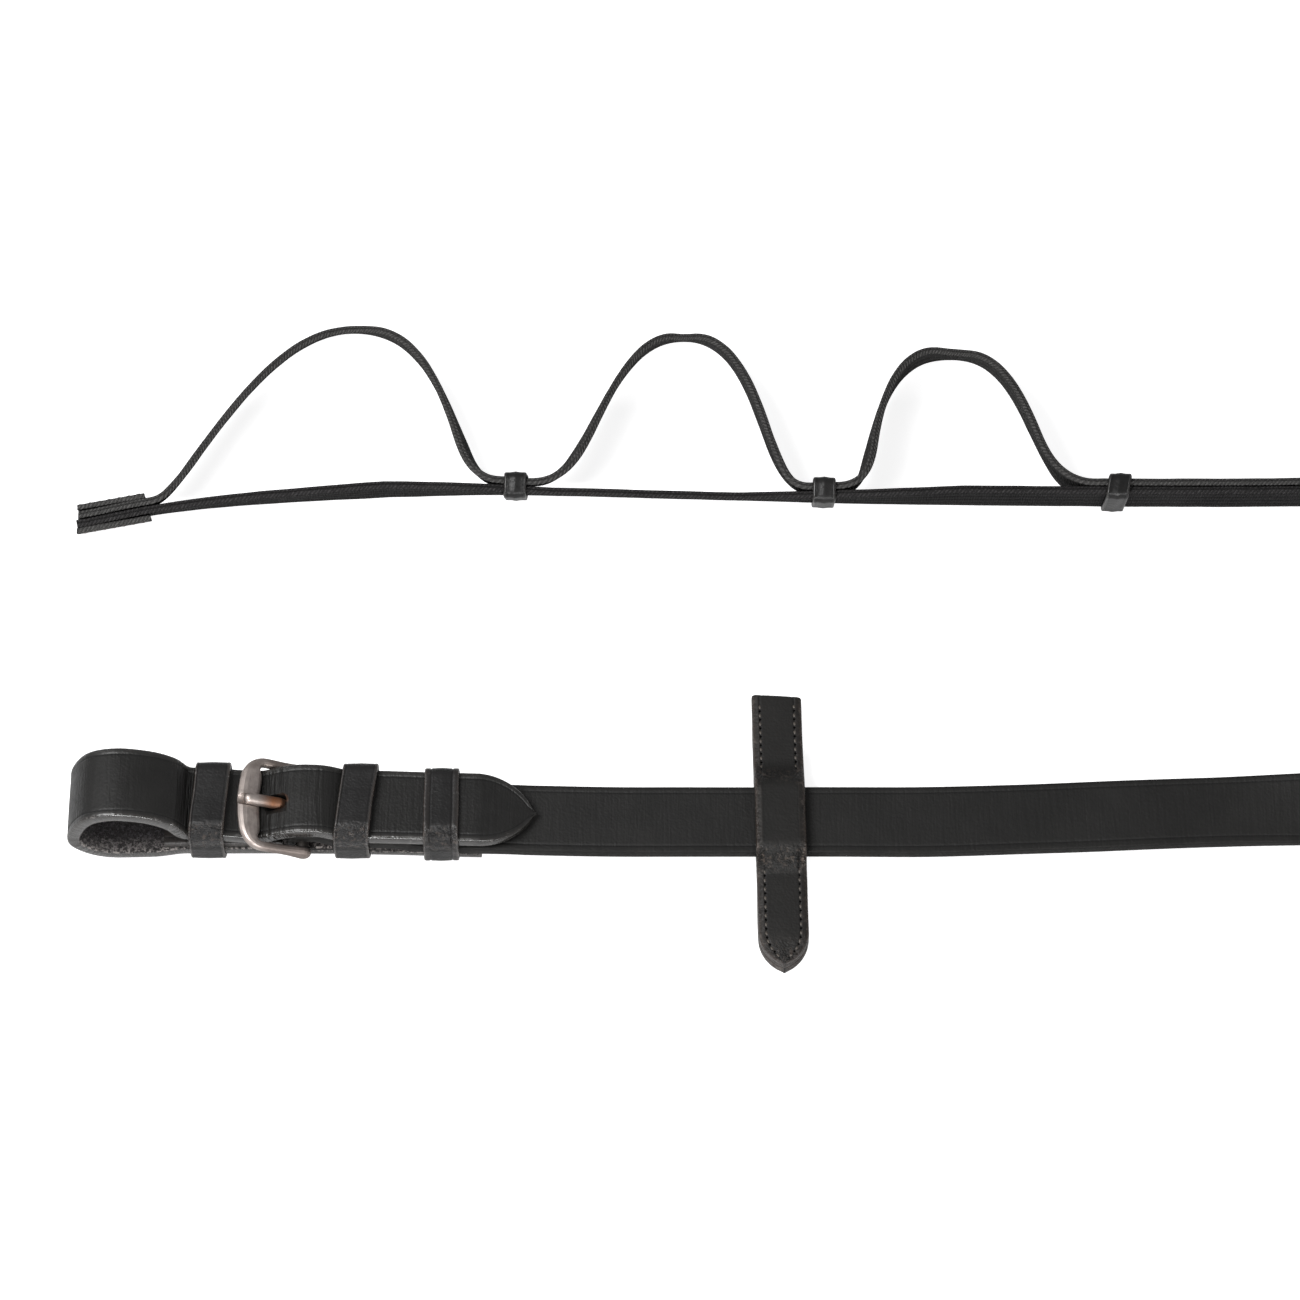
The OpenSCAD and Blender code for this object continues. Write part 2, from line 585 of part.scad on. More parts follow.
// ---- Webbing ----
function lean_at(x) = lookup(x, lean_line);
web_start = sleeve_start + 0.7;
web_plan = concat(
    [for (q = smooth_line(web_line, 5)) if (q[0] > web_start && q[0] < web_straight_end - 3) q],
    arc([web_straight_end, web_rise], flare_r, 270, web_flare + 180, 9),
    [for (a = [web_flare - 5:-5:leather_tip - 360 - splice_a]) turn_c + web_r * [cos(a), sin(a)]]);
web_s = run_lengths(web_plan);
web_turn_s = lookup(web_straight_end, [for (i = [0:len(web_plan) - 1]) if (web_plan[i][0] <= web_straight_end)
    [web_plan[i][0], web_s[i]]]);
function web_lean_at(i) = let (past = (web_s[i] - web_turn_s) / (3 * flare_r))
    past <= 0 ? lean_at(web_plan[i][0]) : lean_line[len(lean_line) - 1][1] * (1 - ease(past));
function web_foot_at(i) = mix(foot_z, (rein_w - web_w) / 2, ease((web_s[i] - web_turn_s) / (3 * flare_r)));
module hand_web() {
    t = tangents(web_plan);
    sides = [for (i = [0:len(t) - 1]) let (a = web_lean_at(i)) [t[i][1] * sin(a), -t[i][0] * sin(a), cos(a)]];
    mid = [for (i = [0:len(t) - 1]) [web_plan[i][0], web_plan[i][1], web_foot_at(i)] + sides[i] * web_w / 2];
    color([0.2, 0.2, 0.2])
    strap(mid, sides, [for (q = mid) web_w], [for (q = mid) web_t]);
}

// Foot of the tape where it lies behind the main web, at a station
pair_pitch = (web_t + tape_t) / 2 + pair_gap;
web_fine = smooth_line(web_line, 12);
function web_y_at(x) = lookup(x, web_fine);
function tape_foot_at(x) = let (a = lean_at(x))
    [x, web_y_at(x) + pair_pitch * cos(a), foot_z + pair_pitch * sin(a)];
// One half of a hand loop: from a keeper to the loop's top, or back
function half_loop(from, to, h0, h1, n) = bezier(from, from + [h0, 0, 0], to - [h1, 0, 0], to, n);
loop_top_share = [0.562, 0.553, 0.455];
loop_clear = 1.2;
loop_from = concat(sleeve_start + sleeve_l + 0.4, [for (i = [0:1]) wrap_x[i] + wrap_w / 2 + loop_clear]);
loop_to = [for (x = wrap_x) x - wrap_w / 2 - loop_clear];
loop_bend = [[8, 27, 28.4, 14.6], [17, 22, 20, 13.6], [13, 25, 23.6, 17]];
loop_twist = [[0, 0, 0], [0, 1, 4.6], [1.5, 5, 6]];
function loop_top(i) = let (x = mix(loop_from[i], loop_to[i], loop_top_share[i]))
    [x, web_y_at(x) + loop_depth[i], tape_foot_low];
tape_steps = 12;
sleeve_twist = 0.8;
function loop_line(i) = concat(
    half_loop(tape_foot_at(loop_from[i]), loop_top(i), loop_bend[i][0], loop_bend[i][1], tape_steps),
    [for (k = [1:tape_steps]) half_loop(loop_top(i), tape_foot_at(loop_to[i]), loop_bend[i][2],
        loop_bend[i][3], tape_steps)[k]]);
// Twist that lays the tape flat against the main web
function flat_twist(x) = web_lean - lean_at(x) + sleeve_twist * ease((30 - x) / 10);
function loop_twists(i) = [for (k = [0:2 * tape_steps]) let (
    h = k / tape_steps,
    start = mix(flat_twist(loop_from[i]), loop_twist[i][0], ease(h * 3)),
    back = mix(loop_twist[i][1], loop_twist[i][2], ease((h - 1) * 1.6)))
    k <= tape_steps ? mix(start, loop_twist[i][1], ease(h)) : mix(back, flat_twist(loop_to[i]), ease(h * 3 - 5))];
tape_start = web_start + 0.5;
tape_end = wrap_x[2] + tape_run_on;
tape_lead = [for (x = [tape_start, 6, 12]) tape_foot_at(x)];
tape_tail = [for (x = [284:10:tape_end - 5]) tape_foot_at(x)];
tape_foot = concat(tape_lead, loop_line(0), loop_line(1), loop_line(2), tape_tail, [tape_foot_at(tape_end)]);
tape_twist = concat([for (q = tape_lead) flat_twist(q[0])], loop_twists(0), loop_twists(1), loop_twists(2),
    [for (q = tape_tail) flat_twist(q[0])], [flat_twist(tape_end)]);
// The loops fan out from the middle one
fan_x = 151;
fan_reach = 1300;
function lean_axis(x) = unit([(fan_x - x) / fan_reach, -sin(web_lean), cos(web_lean)]);
module loop_tape() {
    t = tangents([for (q = tape_foot) [q[0], q[1], 0]]);
    sides = [for (i = [0:len(t) - 1]) let (
        axis = lean_axis(tape_foot[i][0]),
        upright = unit(axis - (axis * t[i]) * t[i]),
        out = cross(upright, t[i]))
        cos(tape_twist[i]) * upright + sin(tape_twist[i]) * out];
    mid = [for (i = [0:len(t) - 1]) tape_foot[i] + sides[i] * web_w / 2];
    color([0.26, 0.25, 0.25])
    strap(mid, sides, [for (q = mid) web_w], [for (q = mid) tape_t]);
}

// Places a piece on the standing pair of webs at a station
module on_pair(x) {
    ahead = web_y_at(x + 2) - web_y_at(x - 2);
    translate([x, web_y_at(x), foot_z]) rotate([0, 0, atan(ahead / 4)]) rotate([lean_at(x), 0, 0])
        translate([0, (pair_pitch - web_t / 2 + tape_t / 2) / 2, web_w / 2]) children();
}
module web_keeper(i) {
    color([0.3, 0.3, 0.3])
    on_pair(wrap_x[i]) rotate([90, 0, 90]) linear_extrude(height = wrap_w, center = true) difference() {
        translate([-wrap_half_t, -wrap_half_w]) round_rect(2 * wrap_half_t, 2 * wrap_half_w, wrap_corner);
        translate([wrap_t - wrap_half_t, wrap_t - wrap_half_w])
            round_rect(2 * (wrap_half_t - wrap_t), 2 * (wrap_half_w - wrap_t), wrap_corner - wrap_t);
    }
}
module web_keeper_1() { web_keeper(0); }
module web_keeper_2() { web_keeper(1); }
module web_keeper_3() { web_keeper(2); }

// ---- End sleeve: a strip folded up round the lower edges of the web and the tape, and sewn ----
sleeve_gap = 0.35;
sleeve_half = pair_t / 2 + sleeve_gap + sleeve_t;
sleeve_far_inset = 1.6;
sleeve_near_ahead = 0.7;
module end_sleeve() {
    fold_low = web_w / 2 + wrap_gap + sleeve_t;
    color([0.27, 0.26, 0.26])
    on_pair(sleeve_start + sleeve_l / 2) intersection() {
        rotate([90, 0, 90]) linear_extrude(height = 2 * sleeve_l, center = true) difference() {
            translate([-sleeve_half, -fold_low]) round_rect(2 * sleeve_half, 2 * fold_low, sleeve_t);
            translate([sleeve_t - sleeve_half, sleeve_t - fold_low])
                square([2 * (sleeve_half - sleeve_t), 2 * fold_low]);
            translate([-2 * sleeve_half, web_w / 2 - 0.2]) square([4 * sleeve_half, fold_low]);
        }
        translate([0, 0, -fold_low]) linear_extrude(height = 2 * fold_low) polygon([
            [-sleeve_l / 2, -sleeve_half], [sleeve_l / 2 + sleeve_near_ahead, -sleeve_half],
            [sleeve_l / 2, sleeve_half], [sleeve_far_inset - sleeve_l / 2, sleeve_half]]);
    }
}

// ---- Splice backing: the inner leather of the splice ----
module splice_backing() {
    r = web_r - (web_t + backing_t) / 2 - splice_gap;
    a0 = leather_tip - splice_a;
    plan = [for (i = [0:18]) let (h = i / 18, a = mix(a0, leather_tip, 1 - (1 - h) * (1 - h * 0.4)))
        turn_c + r * [cos(a), sin(a)]];
    s = run_lengths(plan);
    total = s[len(s) - 1];
    color([0.18, 0.18, 0.17])
    strap([for (q = plan) [q[0], q[1], rein_w / 2]], [for (q = plan) [0, 0, 1]],
        [for (d = s) 2 * point_half(total - d, splice_point, rein_w)], [for (d = s) backing_t]);
}

// Everything stands with the middle of its box on the origin
sleeve_mid = sleeve_start + sleeve_l / 2;
sleeve_corners = [for (side = [-1, 1], z = [0, web_w]) let (
    yaw = atan((web_y_at(sleeve_mid + 2) - web_y_at(sleeve_mid - 2)) / 4),
    lean = lean_at(sleeve_mid),
    along = (side > 0 ? sleeve_far_inset : 0) - sleeve_l / 2,
    across = (pair_t - web_t) / 2 + side * sleeve_half)
    sleeve_mid + along * cos(yaw) - (across * cos(lean) - z * sin(lean)) * sin(yaw)];
box_x0 = min(sleeve_corners);
box_x1 = turn_x + web_r + web_t / 2;
box_y0 = -turn_r - rein_t / 2;
box_y1 = web_r + web_t / 2;
module placed() {
    translate([-(box_x0 + box_x1) / 2, -(box_y0 + box_y1) / 2, 0]) children();
}

placed() billet();
placed() buckle_safe();
placed() main_rein();
placed() buckle_frame();
placed() buckle_tongue();
placed() runner_keeper();
placed() fixed_keeper();
placed() end_keeper();
placed() stop_front();
placed() stop_back();
placed() splice_backing();
placed() hand_web();
placed() loop_tape();
placed() web_keeper_1();
placed() web_keeper_2();
placed() web_keeper_3();
placed() end_sleeve();
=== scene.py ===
"""Looks of a leather rein with a woven hand part, laid over the solids of its frame.

Lengths are in millimetres. Places are in stations: x runs from the bit loop along the rein, y away from
the near side and z up. SHIFT and MM take them to the frame, in metres.
"""
import math

import bpy
from mathutils import Matrix, Vector, noise


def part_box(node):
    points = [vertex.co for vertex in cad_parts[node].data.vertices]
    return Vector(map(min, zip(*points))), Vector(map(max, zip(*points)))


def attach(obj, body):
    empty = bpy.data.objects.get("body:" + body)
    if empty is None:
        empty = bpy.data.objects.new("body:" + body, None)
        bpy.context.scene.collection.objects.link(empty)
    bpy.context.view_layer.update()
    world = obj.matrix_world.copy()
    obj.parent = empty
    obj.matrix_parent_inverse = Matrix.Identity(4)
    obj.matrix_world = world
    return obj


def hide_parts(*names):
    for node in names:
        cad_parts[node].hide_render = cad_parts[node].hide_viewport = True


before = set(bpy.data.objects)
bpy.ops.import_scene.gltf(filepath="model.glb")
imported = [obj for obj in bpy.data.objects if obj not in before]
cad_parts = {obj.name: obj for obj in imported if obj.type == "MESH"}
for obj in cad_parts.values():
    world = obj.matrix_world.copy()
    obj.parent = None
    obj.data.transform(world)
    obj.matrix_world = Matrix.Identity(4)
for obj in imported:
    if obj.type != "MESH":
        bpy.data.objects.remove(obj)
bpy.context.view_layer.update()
MM = 0.001

# ---- Sizes, as in the part's source ----
REIN_W, REIN_T, BILLET_W, BILLET_T, TAIL_T = 19.1, 3.0, 19.8, 3.2, 2.3
SAFE_T, CHAPE_T, LOOP_H = 2.2, 1.7, 24.5
SAFE_START, HEEL_X, CHAPE_END = 25.2, 61.2, 84.0
POINT_START, POINT_L, TAIL_END, THROAT_Z = 106.6, 14.7, 107.8, 10.6
KEEPER_T, KEEPER_W, KEEPER_GAP = 1.2, 9.0, 0.3
RUNNER_X, FIXED_X, END_X = 37.2, 75.0, 97.1
RUNNER_SKEW, FIXED_SKEW, FIXED_SLACK = 1.4, 2.2, 1.5
HEEL_D, FOLD_GAP, LAY = 3.2, 0.25, 0.06
STOP_L, STOP_W, STOP_T, STOP_X, STOP_TILT = 77.2, 13.0, 3.0, 185.1, 0.9
STOP_POINT, STOP_SHARE, STOP_GAP = 9.2, 0.47, 0.35
WEB_W, WEB_T, TAPE_T, WEB_LEAN = 16.0, 2.2, 2.0, 31.0
WRAP_T, WRAP_W, WRAP_GAP = 1.0, 5.9, 0.25
WRAP_X = [115.2, 197.9, 276.4]
LOOP_DEPTH = [53.6, 50.9, 48.2]
SLEEVE_L, SLEEVE_T, SLEEVE_START, SLEEVE_GAP = 19.6, 1.2, -3.7, 0.35
SLEEVE_INSET, SLEEVE_AHEAD = 1.6, 0.7
TAPE_RUN_ON, PAIR_GAP, FOOT_Z, TAPE_FOOT_LOW = 84.0, 0.2, 2.3, 0.6
STRAIGHT_END, TURN_R, FLARE_R, LEATHER_TIP = 370.0, 106.0, 90.0, 320.0
SPLICE_L, BACKING_T, SPLICE_GAP, SPLICE_POINT = 60.0, 1.8, 0.25, 14.0
REIN_Y, BIT_SWAY, TURN_SWAY = -49.9, 2.0, 2.0
BIT_SWAY_X, TURN_SWAY_X = (150.0, 60.0), (215.0, 320.0)
TWIST_X, TWIST_L, LIFT = 296.0, 134.0, 2.4
STEP_X, LEVEL_X, REIN_AHEAD = 95.0, 119.0, 0.4
LOOP_YIELD, YIELD_X, YIELD_Z = 0.5, (30.0, 22.0), (12.0, 3.0)
LEAN_LINE = [(0, 29.5), (80, 20.5), (125, 29.5), (175, 29.5), (235, 17), (330, 16), (370, 11)]
WEB_LINE = [(-4, 40.1), (20, 44.8), (50, 48), (106, 50.6), (165, 49.3), (220, 47.6),
            (300, 46.8), (340, 47.2), (370, 47.4)]

# Heights of the layers at the buckle, from the floor up
LOWER_Z = KEEPER_T + KEEPER_GAP
TAIL_TOP = LOWER_Z + TAIL_T
REIN_Z = STOP_T + STOP_GAP
CHAPE_Z = TAIL_TOP + LAY
OVER_CHAPE = CHAPE_Z + CHAPE_T + LAY
TOP_Z = OVER_CHAPE + REIN_T + LAY
HEEL_Z = CHAPE_Z + CHAPE_T + KEEPER_GAP + HEEL_D / 2
OVER_HEEL = HEEL_Z + HEEL_D / 2 + FOLD_GAP
FOLD_T = REIN_T - 0.5
ARCH_Z = OVER_HEEL + FOLD_T + 3 * LAY
RUNNER_TOP = THROAT_Z + BILLET_T + KEEPER_GAP
KEEPER_TOP = TOP_Z + BILLET_T + KEEPER_GAP


# ---- Curves ----
def clamp(t):
    return max(0.0, min(1.0, t))


def ease(t):
    """Soft step: 0 up to t = 0, 1 from t = 1."""
    c = clamp(t)
    return c * c * (3 - 2 * c)


def mix(a, b, t):
    return a + (b - a) * t


def lookup(x, table):
    """Value at x on the straight lines through a table of (x, value)."""
    if x <= table[0][0]:
        return table[0][1]
    for (x0, y0), (x1, y1) in zip(table, table[1:]):
        if x <= x1:
            return mix(y0, y1, (x - x0) / (x1 - x0))
    return table[-1][1]


def smooth_line(rows, n):
    """Catmull-Rom curve through rows of any length."""
    out, last = [], len(rows) - 1
    for i in range(last):
        a, b, c, d = rows[max(i - 1, 0)], rows[i], rows[i + 1], rows[min(i + 2, last)]
        for k in range(n):
            t = k / n
            out.append(tuple(
                0.5 * (2 * q + (r - p) * t + (2 * p - 5 * q + 4 * r - s) * t * t
                       + (3 * q - p - 3 * r + s) * t ** 3) for p, q, r, s in zip(a, b, c, d)))
    out.append(tuple(rows[last]))
    return out


def bezier(a, b, c, d, n):
    """Cubic curve from a to d with the handles b and c, in n steps."""
    return [a * (1 - t) ** 3 + b * 3 * t * (1 - t) ** 2 + c * 3 * t * t * (1 - t) + d * t ** 3
            for t in (i / n for i in range(n + 1))]


def lengths(path):
    """Length along the path at each of its points."""
    out = [0.0]
    for a, b in zip(path, path[1:]):
        out.append(out[-1] + (b - a).length)
    return out


def tangents(path, closed=False):
    n = len(path)
    if closed:
        return [(path[(i + 1) % n] - path[i - 1]).normalized() for i in range(n)]
    return [(path[min(i + 1, n - 1)] - path[max(i - 1, 0)]).normalized() for i in range(n)]


def resample(rows, step):
    """Rows (Vector, then numbers or Vectors) at an even spacing along the first Vector."""
    s = lengths([r[0] for r in rows])
    count = max(2, int(round(s[-1] / step)) + 1)
    out, k = [], 0
    for i in range(count):
        at = s[-1] * i / (count - 1)
        while k < len(s) - 2 and s[k + 1] < at:
            k += 1
        t = (at - s[k]) / max(s[k + 1] - s[k], 1e-9)
        out.append(tuple(mix(p, q, t) for p, q in zip(rows[k], rows[k + 1])))
    return out


def span(a, b, step):
    """Even steps from a to b, none shorter than step."""
    n = max(1, int(abs(b - a) / step))
    return [mix(a, b, i / n) for i in range(n + 1)]


# ---- Place in the frame ----
def turn_share(x):
    return ease((x - TURN_SWAY_X[0]) / (TURN_SWAY_X[1] - TURN_SWAY_X[0]))


def rein_y(x):
    """Middle of the rein, which sways near the bit loop and before the turn."""
    return (REIN_Y + BIT_SWAY * ease((BIT_SWAY_X[0] - x) / (BIT_SWAY_X[0] - BIT_SWAY_X[1]))
            + TURN_SWAY * turn_share(x))


lo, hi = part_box("runner_keeper")
SHIFT_X = (lo.x + hi.x) / 2 / MM - RUNNER_X
lo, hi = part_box("end_keeper")
SHIFT_Y = (lo.y + hi.y) / 2 / MM - rein_y(END_X)
SHIFT = Vector((SHIFT_X, SHIFT_Y, 0))
HEEL_AHEAD = 0.5
HEEL_Y = rein_y(HEEL_X) - HEEL_AHEAD


# ---- Meshes ----
def make_mesh(name, verts, faces, uvs, attrs, material):
    """Makes the object in metres at its place. uvs: one (u, v) in mm for each vertex."""
    mesh = bpy.data.meshes.new(name)
    mesh.from_pydata([(v + SHIFT) * MM for v in verts], [], faces)
    if uvs:
        layer = mesh.uv_layers.new(name="UVMap")
        for loop in mesh.loops:
            u, v = uvs[loop.vertex_index]
            layer.data[loop.index].uv = (u * MM, v * MM)
    for key, values in attrs.items():
        mesh.attributes.new(key, "FLOAT", "POINT").data.foreach_set("value", values)
    mesh.polygons.foreach_set("use_smooth", [True] * len(mesh.polygons))
    mesh.materials.append(material)
    mesh.validate()
    obj = bpy.data.objects.new(name, mesh)
    bpy.context.scene.collection.objects.link(obj)
    return obj


def outline_lengths(ring):
    out = [0.0]
    for p, q in zip(ring, ring[1:]):
        out.append(out[-1] + math.hypot(q[0] - p[0], q[1] - p[1]))
    return out


def tube_faces(rings, k, closed=False):
    """Quads between rings of k points, with end caps unless the last ring joins the first."""
    faces = []
    for i in range(rings if closed else rings - 1):
        a, b = i * k, ((i + 1) % rings) * k
        faces += [(a + j, b + j, b + (j + 1) % k, a + (j + 1) % k) for j in range(k)]
    if not closed:
        faces += [tuple(range(k)), tuple((rings - 1) * k + j for j in reversed(range(k)))]
    return faces


def sweep(name, path, sides, profiles, material, closed=False, warp=None, marks=None, shear=None):
    """Sweeps a closed profile along a path. profiles[i] lists (across, up, edge, under, crease) of ring i.
    marks gives further values along the length: name -> function of the length and the point.
    shear(length) slants a ring: how far it moves along the path for each millimetre across."""
    n = len(path)
    tang = tangents(path, closed)
    s = lengths(path)
    verts, uvs = [], []
    attrs = {key: [] for key in ["edge", "under", "crease"] + list(marks or {})}
    around = outline_lengths(profiles[n // 2])
    for i in range(n):
        across = (sides[i] - tang[i] * sides[i].dot(tang[i])).normalized()
        up = tang[i].cross(across)
        for j, p in enumerate(profiles[i]):
            a, b = warp(s[i], *p) if warp else p[:2]
            slant = tang[i] * a * shear(s[i]) if shear else Vector()
            verts.append(path[i] + across * a + up * b + slant)
            uvs.append((s[i], around[j]))
            for key, value in zip(("edge", "under", "crease"), p[2:]):
                attrs[key].append(value)
            for key, rule in (marks or {}).items():
                attrs[key].append(rule(s[i], verts[-1]))
    return make_mesh(name, verts, tube_faces(n, len(profiles[0]), closed), uvs, attrs, material)


def even(**values):
    """Marks that stay the same all over a strap."""
    return {key: (lambda s, q, value=value: value) for key, value in values.items()}


def leather_profile(w, t, crease=1.9, depth=0.16, bevel=0.5, crown=0.05, groove=0.32, margin=0.05):
    """Section of a strap from the near-side lower corner round the grain side: bevelled and slightly
    bulging edges, a pressed crease near each edge, a plain underside."""
    k = clamp(w / (2 * crease + 3.0))
    low_bevel = min(0.5, w * 0.25, t * 0.3)
    bevel = min(bevel, w * 0.25, t * 0.45)
    half = t / 2
    right = [(w / 2 - low_bevel * 0.5, -half, 0.8, 1.0, 0.0),
             (w / 2 - low_bevel * 0.12, -half + low_bevel * 0.2, 1.0, 0.5, 0.0),
             (w / 2, -half + low_bevel * 0.7, 1.0, 0.0, 0.0),
             (w / 2 + margin, -half * 0.2, 1.0, 0.0, 0.0)]
    for turn in (0, 18, 36, 54, 72, 90):
        a = math.radians(turn)
        right.append((w / 2 - bevel * (1 - math.cos(a)), half - bevel * (1 - math.sin(a)),
                      1 - 0.55 * ease((turn - 40) / 60), 0.0, 0.0))
    right.append((w / 2 - bevel - 0.3 * k, half + 0.02, 0.2, 0.0, 0.0))
    for off, dip, e, g in ((-1.3, 0, 0.2, 0), (-0.6, 0.35, 0.12, 0.3), (0, 1, 0, 1), (0.6, 0.35, 0, 0.3),
                           (1.3, 0, 0, 0)):
        right.append((w / 2 - (crease + groove * off) * k, half - depth * dip * k, e, 0.0, float(g)))
    inner = w / 2 - (crease + groove * 2.4) * k
    right += [(inner * (1 - q / 4), half + crown * (q / 4), 0.0, 0.0, 0.0) for q in range(5)]
    low = [(w / 2 - bevel * 1.4, -half, 0.4, 1.0, 0.0), (w / 4, -half, 0.0, 1.0, 0.0)]
    top = right + [(-a, b, e, u, g) for a, b, e, u, g in reversed(right[:-1])]
    under = [(-a, b, e, u, g) for a, b, e, u, g in low] + [(0.0, -half, 0.0, 1.0, 0.0)]
    return top + under + list(reversed(low))


def web_profile(w, t, ribs=4, groove=0.30, edge_in=0.7):
    """Section of webbing: soft round edges and lengthwise ribs on both faces."""
    half, out = t / 2, []
    reach = w / 2 - edge_in
    right = [(reach + edge_in * math.cos(a) * 0.7, half * math.sin(a), 1.0, 0.0, 0.0)
             for a in map(math.radians, (0, 25, 50, 72))]
    steps = ribs * 6
    face = []
    for q in range(steps + 1):
        lobe = abs(math.sin(math.pi * ribs * q / steps))
        face.append((reach * (1 - 2 * q / steps), half - groove * (1 - lobe ** 0.6),
                     0.6 if q in (0, steps) else 0.0, 0.0, (1 - lobe) ** 1.5 * (q not in (0, steps))))
    top = right + face + [(-a, b, e, u, g) for a, b, e, u, g in reversed(right)]
    return top + [(-a, -b, e, u, g) for a, b, e, u, g in top[1:-1]]


def point_half(d, length, w):
    """Half the width of a strap at a distance d from its rounded point."""
    r = (length * length + w * w / 4) / w
    return w / 2 if d >= length else max(0.35, math.sqrt(r * r - (length - d) ** 2) - (r - w / 2))


def wobble(seed, across=0.10, up=0.05, period=16.0):
    """Small unevenness of a worn strap."""
    def warp(s, a, b, *_):
        q = Vector((s / period, a / 9.0, seed))
        r = Vector((s / period, 3.7, seed + (1 if a > 0 else 2)))
        return a + noise.noise(r) * across * clamp(abs(a) / 4), b + noise.noise(q) * up
    return warp


def stitches(name, spots, length, radius, material):
    """Small sewn stitches: spots lists (middle, direction, normal)."""
    verts, faces = [], []
    rings, sides = 5, 8
    for at, along, up in spots:
        along = along.normalized()
        side = along.cross(up).normalized()
        base = len(verts)
        for i in range(rings):
            t = -1 + 2 * i / (rings - 1)
            fat = math.sqrt(max(0.06, 1 - t * t * 0.85))
            sink = -radius * 0.9 * t * t
            for j in range(sides):
                a = 2 * math.pi * j / sides
                verts.append(at + along * (t * length / 2) + side * (radius * fat * math.cos(a))
                             + up * (radius * 0.7 * fat * math.sin(a) + sink))
        for i in range(rings - 1):
            for j in range(sides):
                m = (j + 1) % sides
                faces.append((base + i * sides + j, base + i * sides + m, base + (i + 1) * sides + m,
                              base + (i + 1) * sides + j))
        faces.append(tuple(base + j for j in reversed(range(sides))))
        faces.append(tuple(base + (rings - 1) * sides + j for j in range(sides)))
    return make_mesh(name, verts, faces, None, {}, material)


# ---- Materials ----
# The first colour is painted glint on the burnished edges
GLINT_RGB, FIBRE_RGB, FRAY_RGB = (0.10, 0.094, 0.09), (0.075, 0.07, 0.075), (0.34, 0.31, 0.29)
# The second colour marks rubbed spots: part real wear, part painted glint
CREASE_RGB, SCUFF_GLINT_RGB, RUST_RGB = (0.004, 0.004, 0.004), (0.12, 0.095, 0.08), (0.12, 0.05, 0.022)
# Painted shade for the grooves between the web's ribs
GROOVE_SHADE_RGB = (0.003, 0.003, 0.003)
STEEL_DARK, STEEL_LIGHT, STEEL_RUST = (0.37, 0.325, 0.30), (0.56, 0.495, 0.46), (0.24, 0.105, 0.05)
# Painted shade on the buckle toward the heel bar (first) and on the heel bar's end (last)
HEEL_SHADE_RGB, STAIN_RGB, SHADE_RGB = (0.13, 0.105, 0.095), (0.20, 0.165, 0.145), (0.05, 0.045, 0.042)
# Twist of the selvedge and pitch of the weft
TWIST_PITCH, WEFT_PITCH = 1.1, 0.7
# Where the tongue passes the strap, where the heel bar ends (painted shade), and where painted shade starts on
# the buckle toward the heel bar
RUST_AT = Vector((55.5, HEEL_Y, 13.8))
BALL_AT = Vector((HEEL_X, HEEL_Y - 9.8, HEEL_Z))
HEEL_SHADE_X = (49.0, 53.0)


def nodes_of(name):
    m = bpy.data.materials.new(name)
    m.use_nodes = True
    t = m.node_tree
    return m, t, t.nodes["Principled BSDF"]


def node(tree, kind, inputs=None, **props):
    """A node with its properties, and its inputs set to values or linked to other nodes' outputs."""
    n = tree.nodes.new(kind)
    for k, v in props.items():
        setattr(n, k, v)
    for k, v in (inputs or {}).items():
        if hasattr(v, "is_linked"):
            tree.links.new(v, n.inputs[k])
        else:
            n.inputs[k].default_value = v
    return n


def ramp(tree, fac, x0, x1, y0, y1):
    ends = {"From Min": x0, "From Max": x1, "To Min": y0, "To Max": y1}
    return node(tree, "ShaderNodeMapRange", {"Value": fac, **ends}, clamp=True).outputs["Result"]


def blend_rgb(tree, fac, a, b):
    a, b = (v if hasattr(v, "is_linked") else (*v, 1.0) for v in (a, b))
    return node(tree, "ShaderNodeMix", {0: fac, 6: a, 7: b}, data_type="RGBA").outputs[2]


def blend(tree, fac, a, b):
    return node(tree, "ShaderNodeMix", {0: fac, 2: a, 3: b}).outputs[0]


def maths(tree, op, a, b):
    return node(tree, "ShaderNodeMath", {0: a, 1: b}, operation=op).outputs[0]


def times(tree, a, b):
    return maths(tree, "MULTIPLY", a, b)


def left_of(tree, a):
    return maths(tree, "SUBTRACT", 1.0, a)


def attribute(tree, name):
    return node(tree, "ShaderNodeAttribute", attribute_name=name).outputs["Fac"]


def noise_tex(tree, vec, scale, detail=3.0, rough=0.55, distortion=0.0):
    inputs = {"Vector": vec, "Scale": scale, "Detail": detail, "Roughness": rough, "Distortion": distortion}
    return node(tree, "ShaderNodeTexNoise", inputs).outputs["Fac"]


def stretched(tree, vec, scale):
    return node(tree, "ShaderNodeMapping", {"Vector": vec, "Scale": scale}).outputs["Vector"]


def bump(tree, height, strength, distance, under=None):
    inputs = {"Height": height, "Strength": strength, "Distance": distance}
    if under is not None:
        inputs["Normal"] = under
    return node(tree, "ShaderNodeBump", inputs).outputs["Normal"]


def near_point(tree, obj, place, reach):
    """1 at a place, 0 beyond its reach."""
    d = node(tree, "ShaderNodeVectorMath", {0: obj, 1: (place + SHIFT) * MM}, operation="DISTANCE")
    return ramp(tree, d.outputs["Value"], reach[0] * MM, reach[1] * MM, 1.0, 0.0)


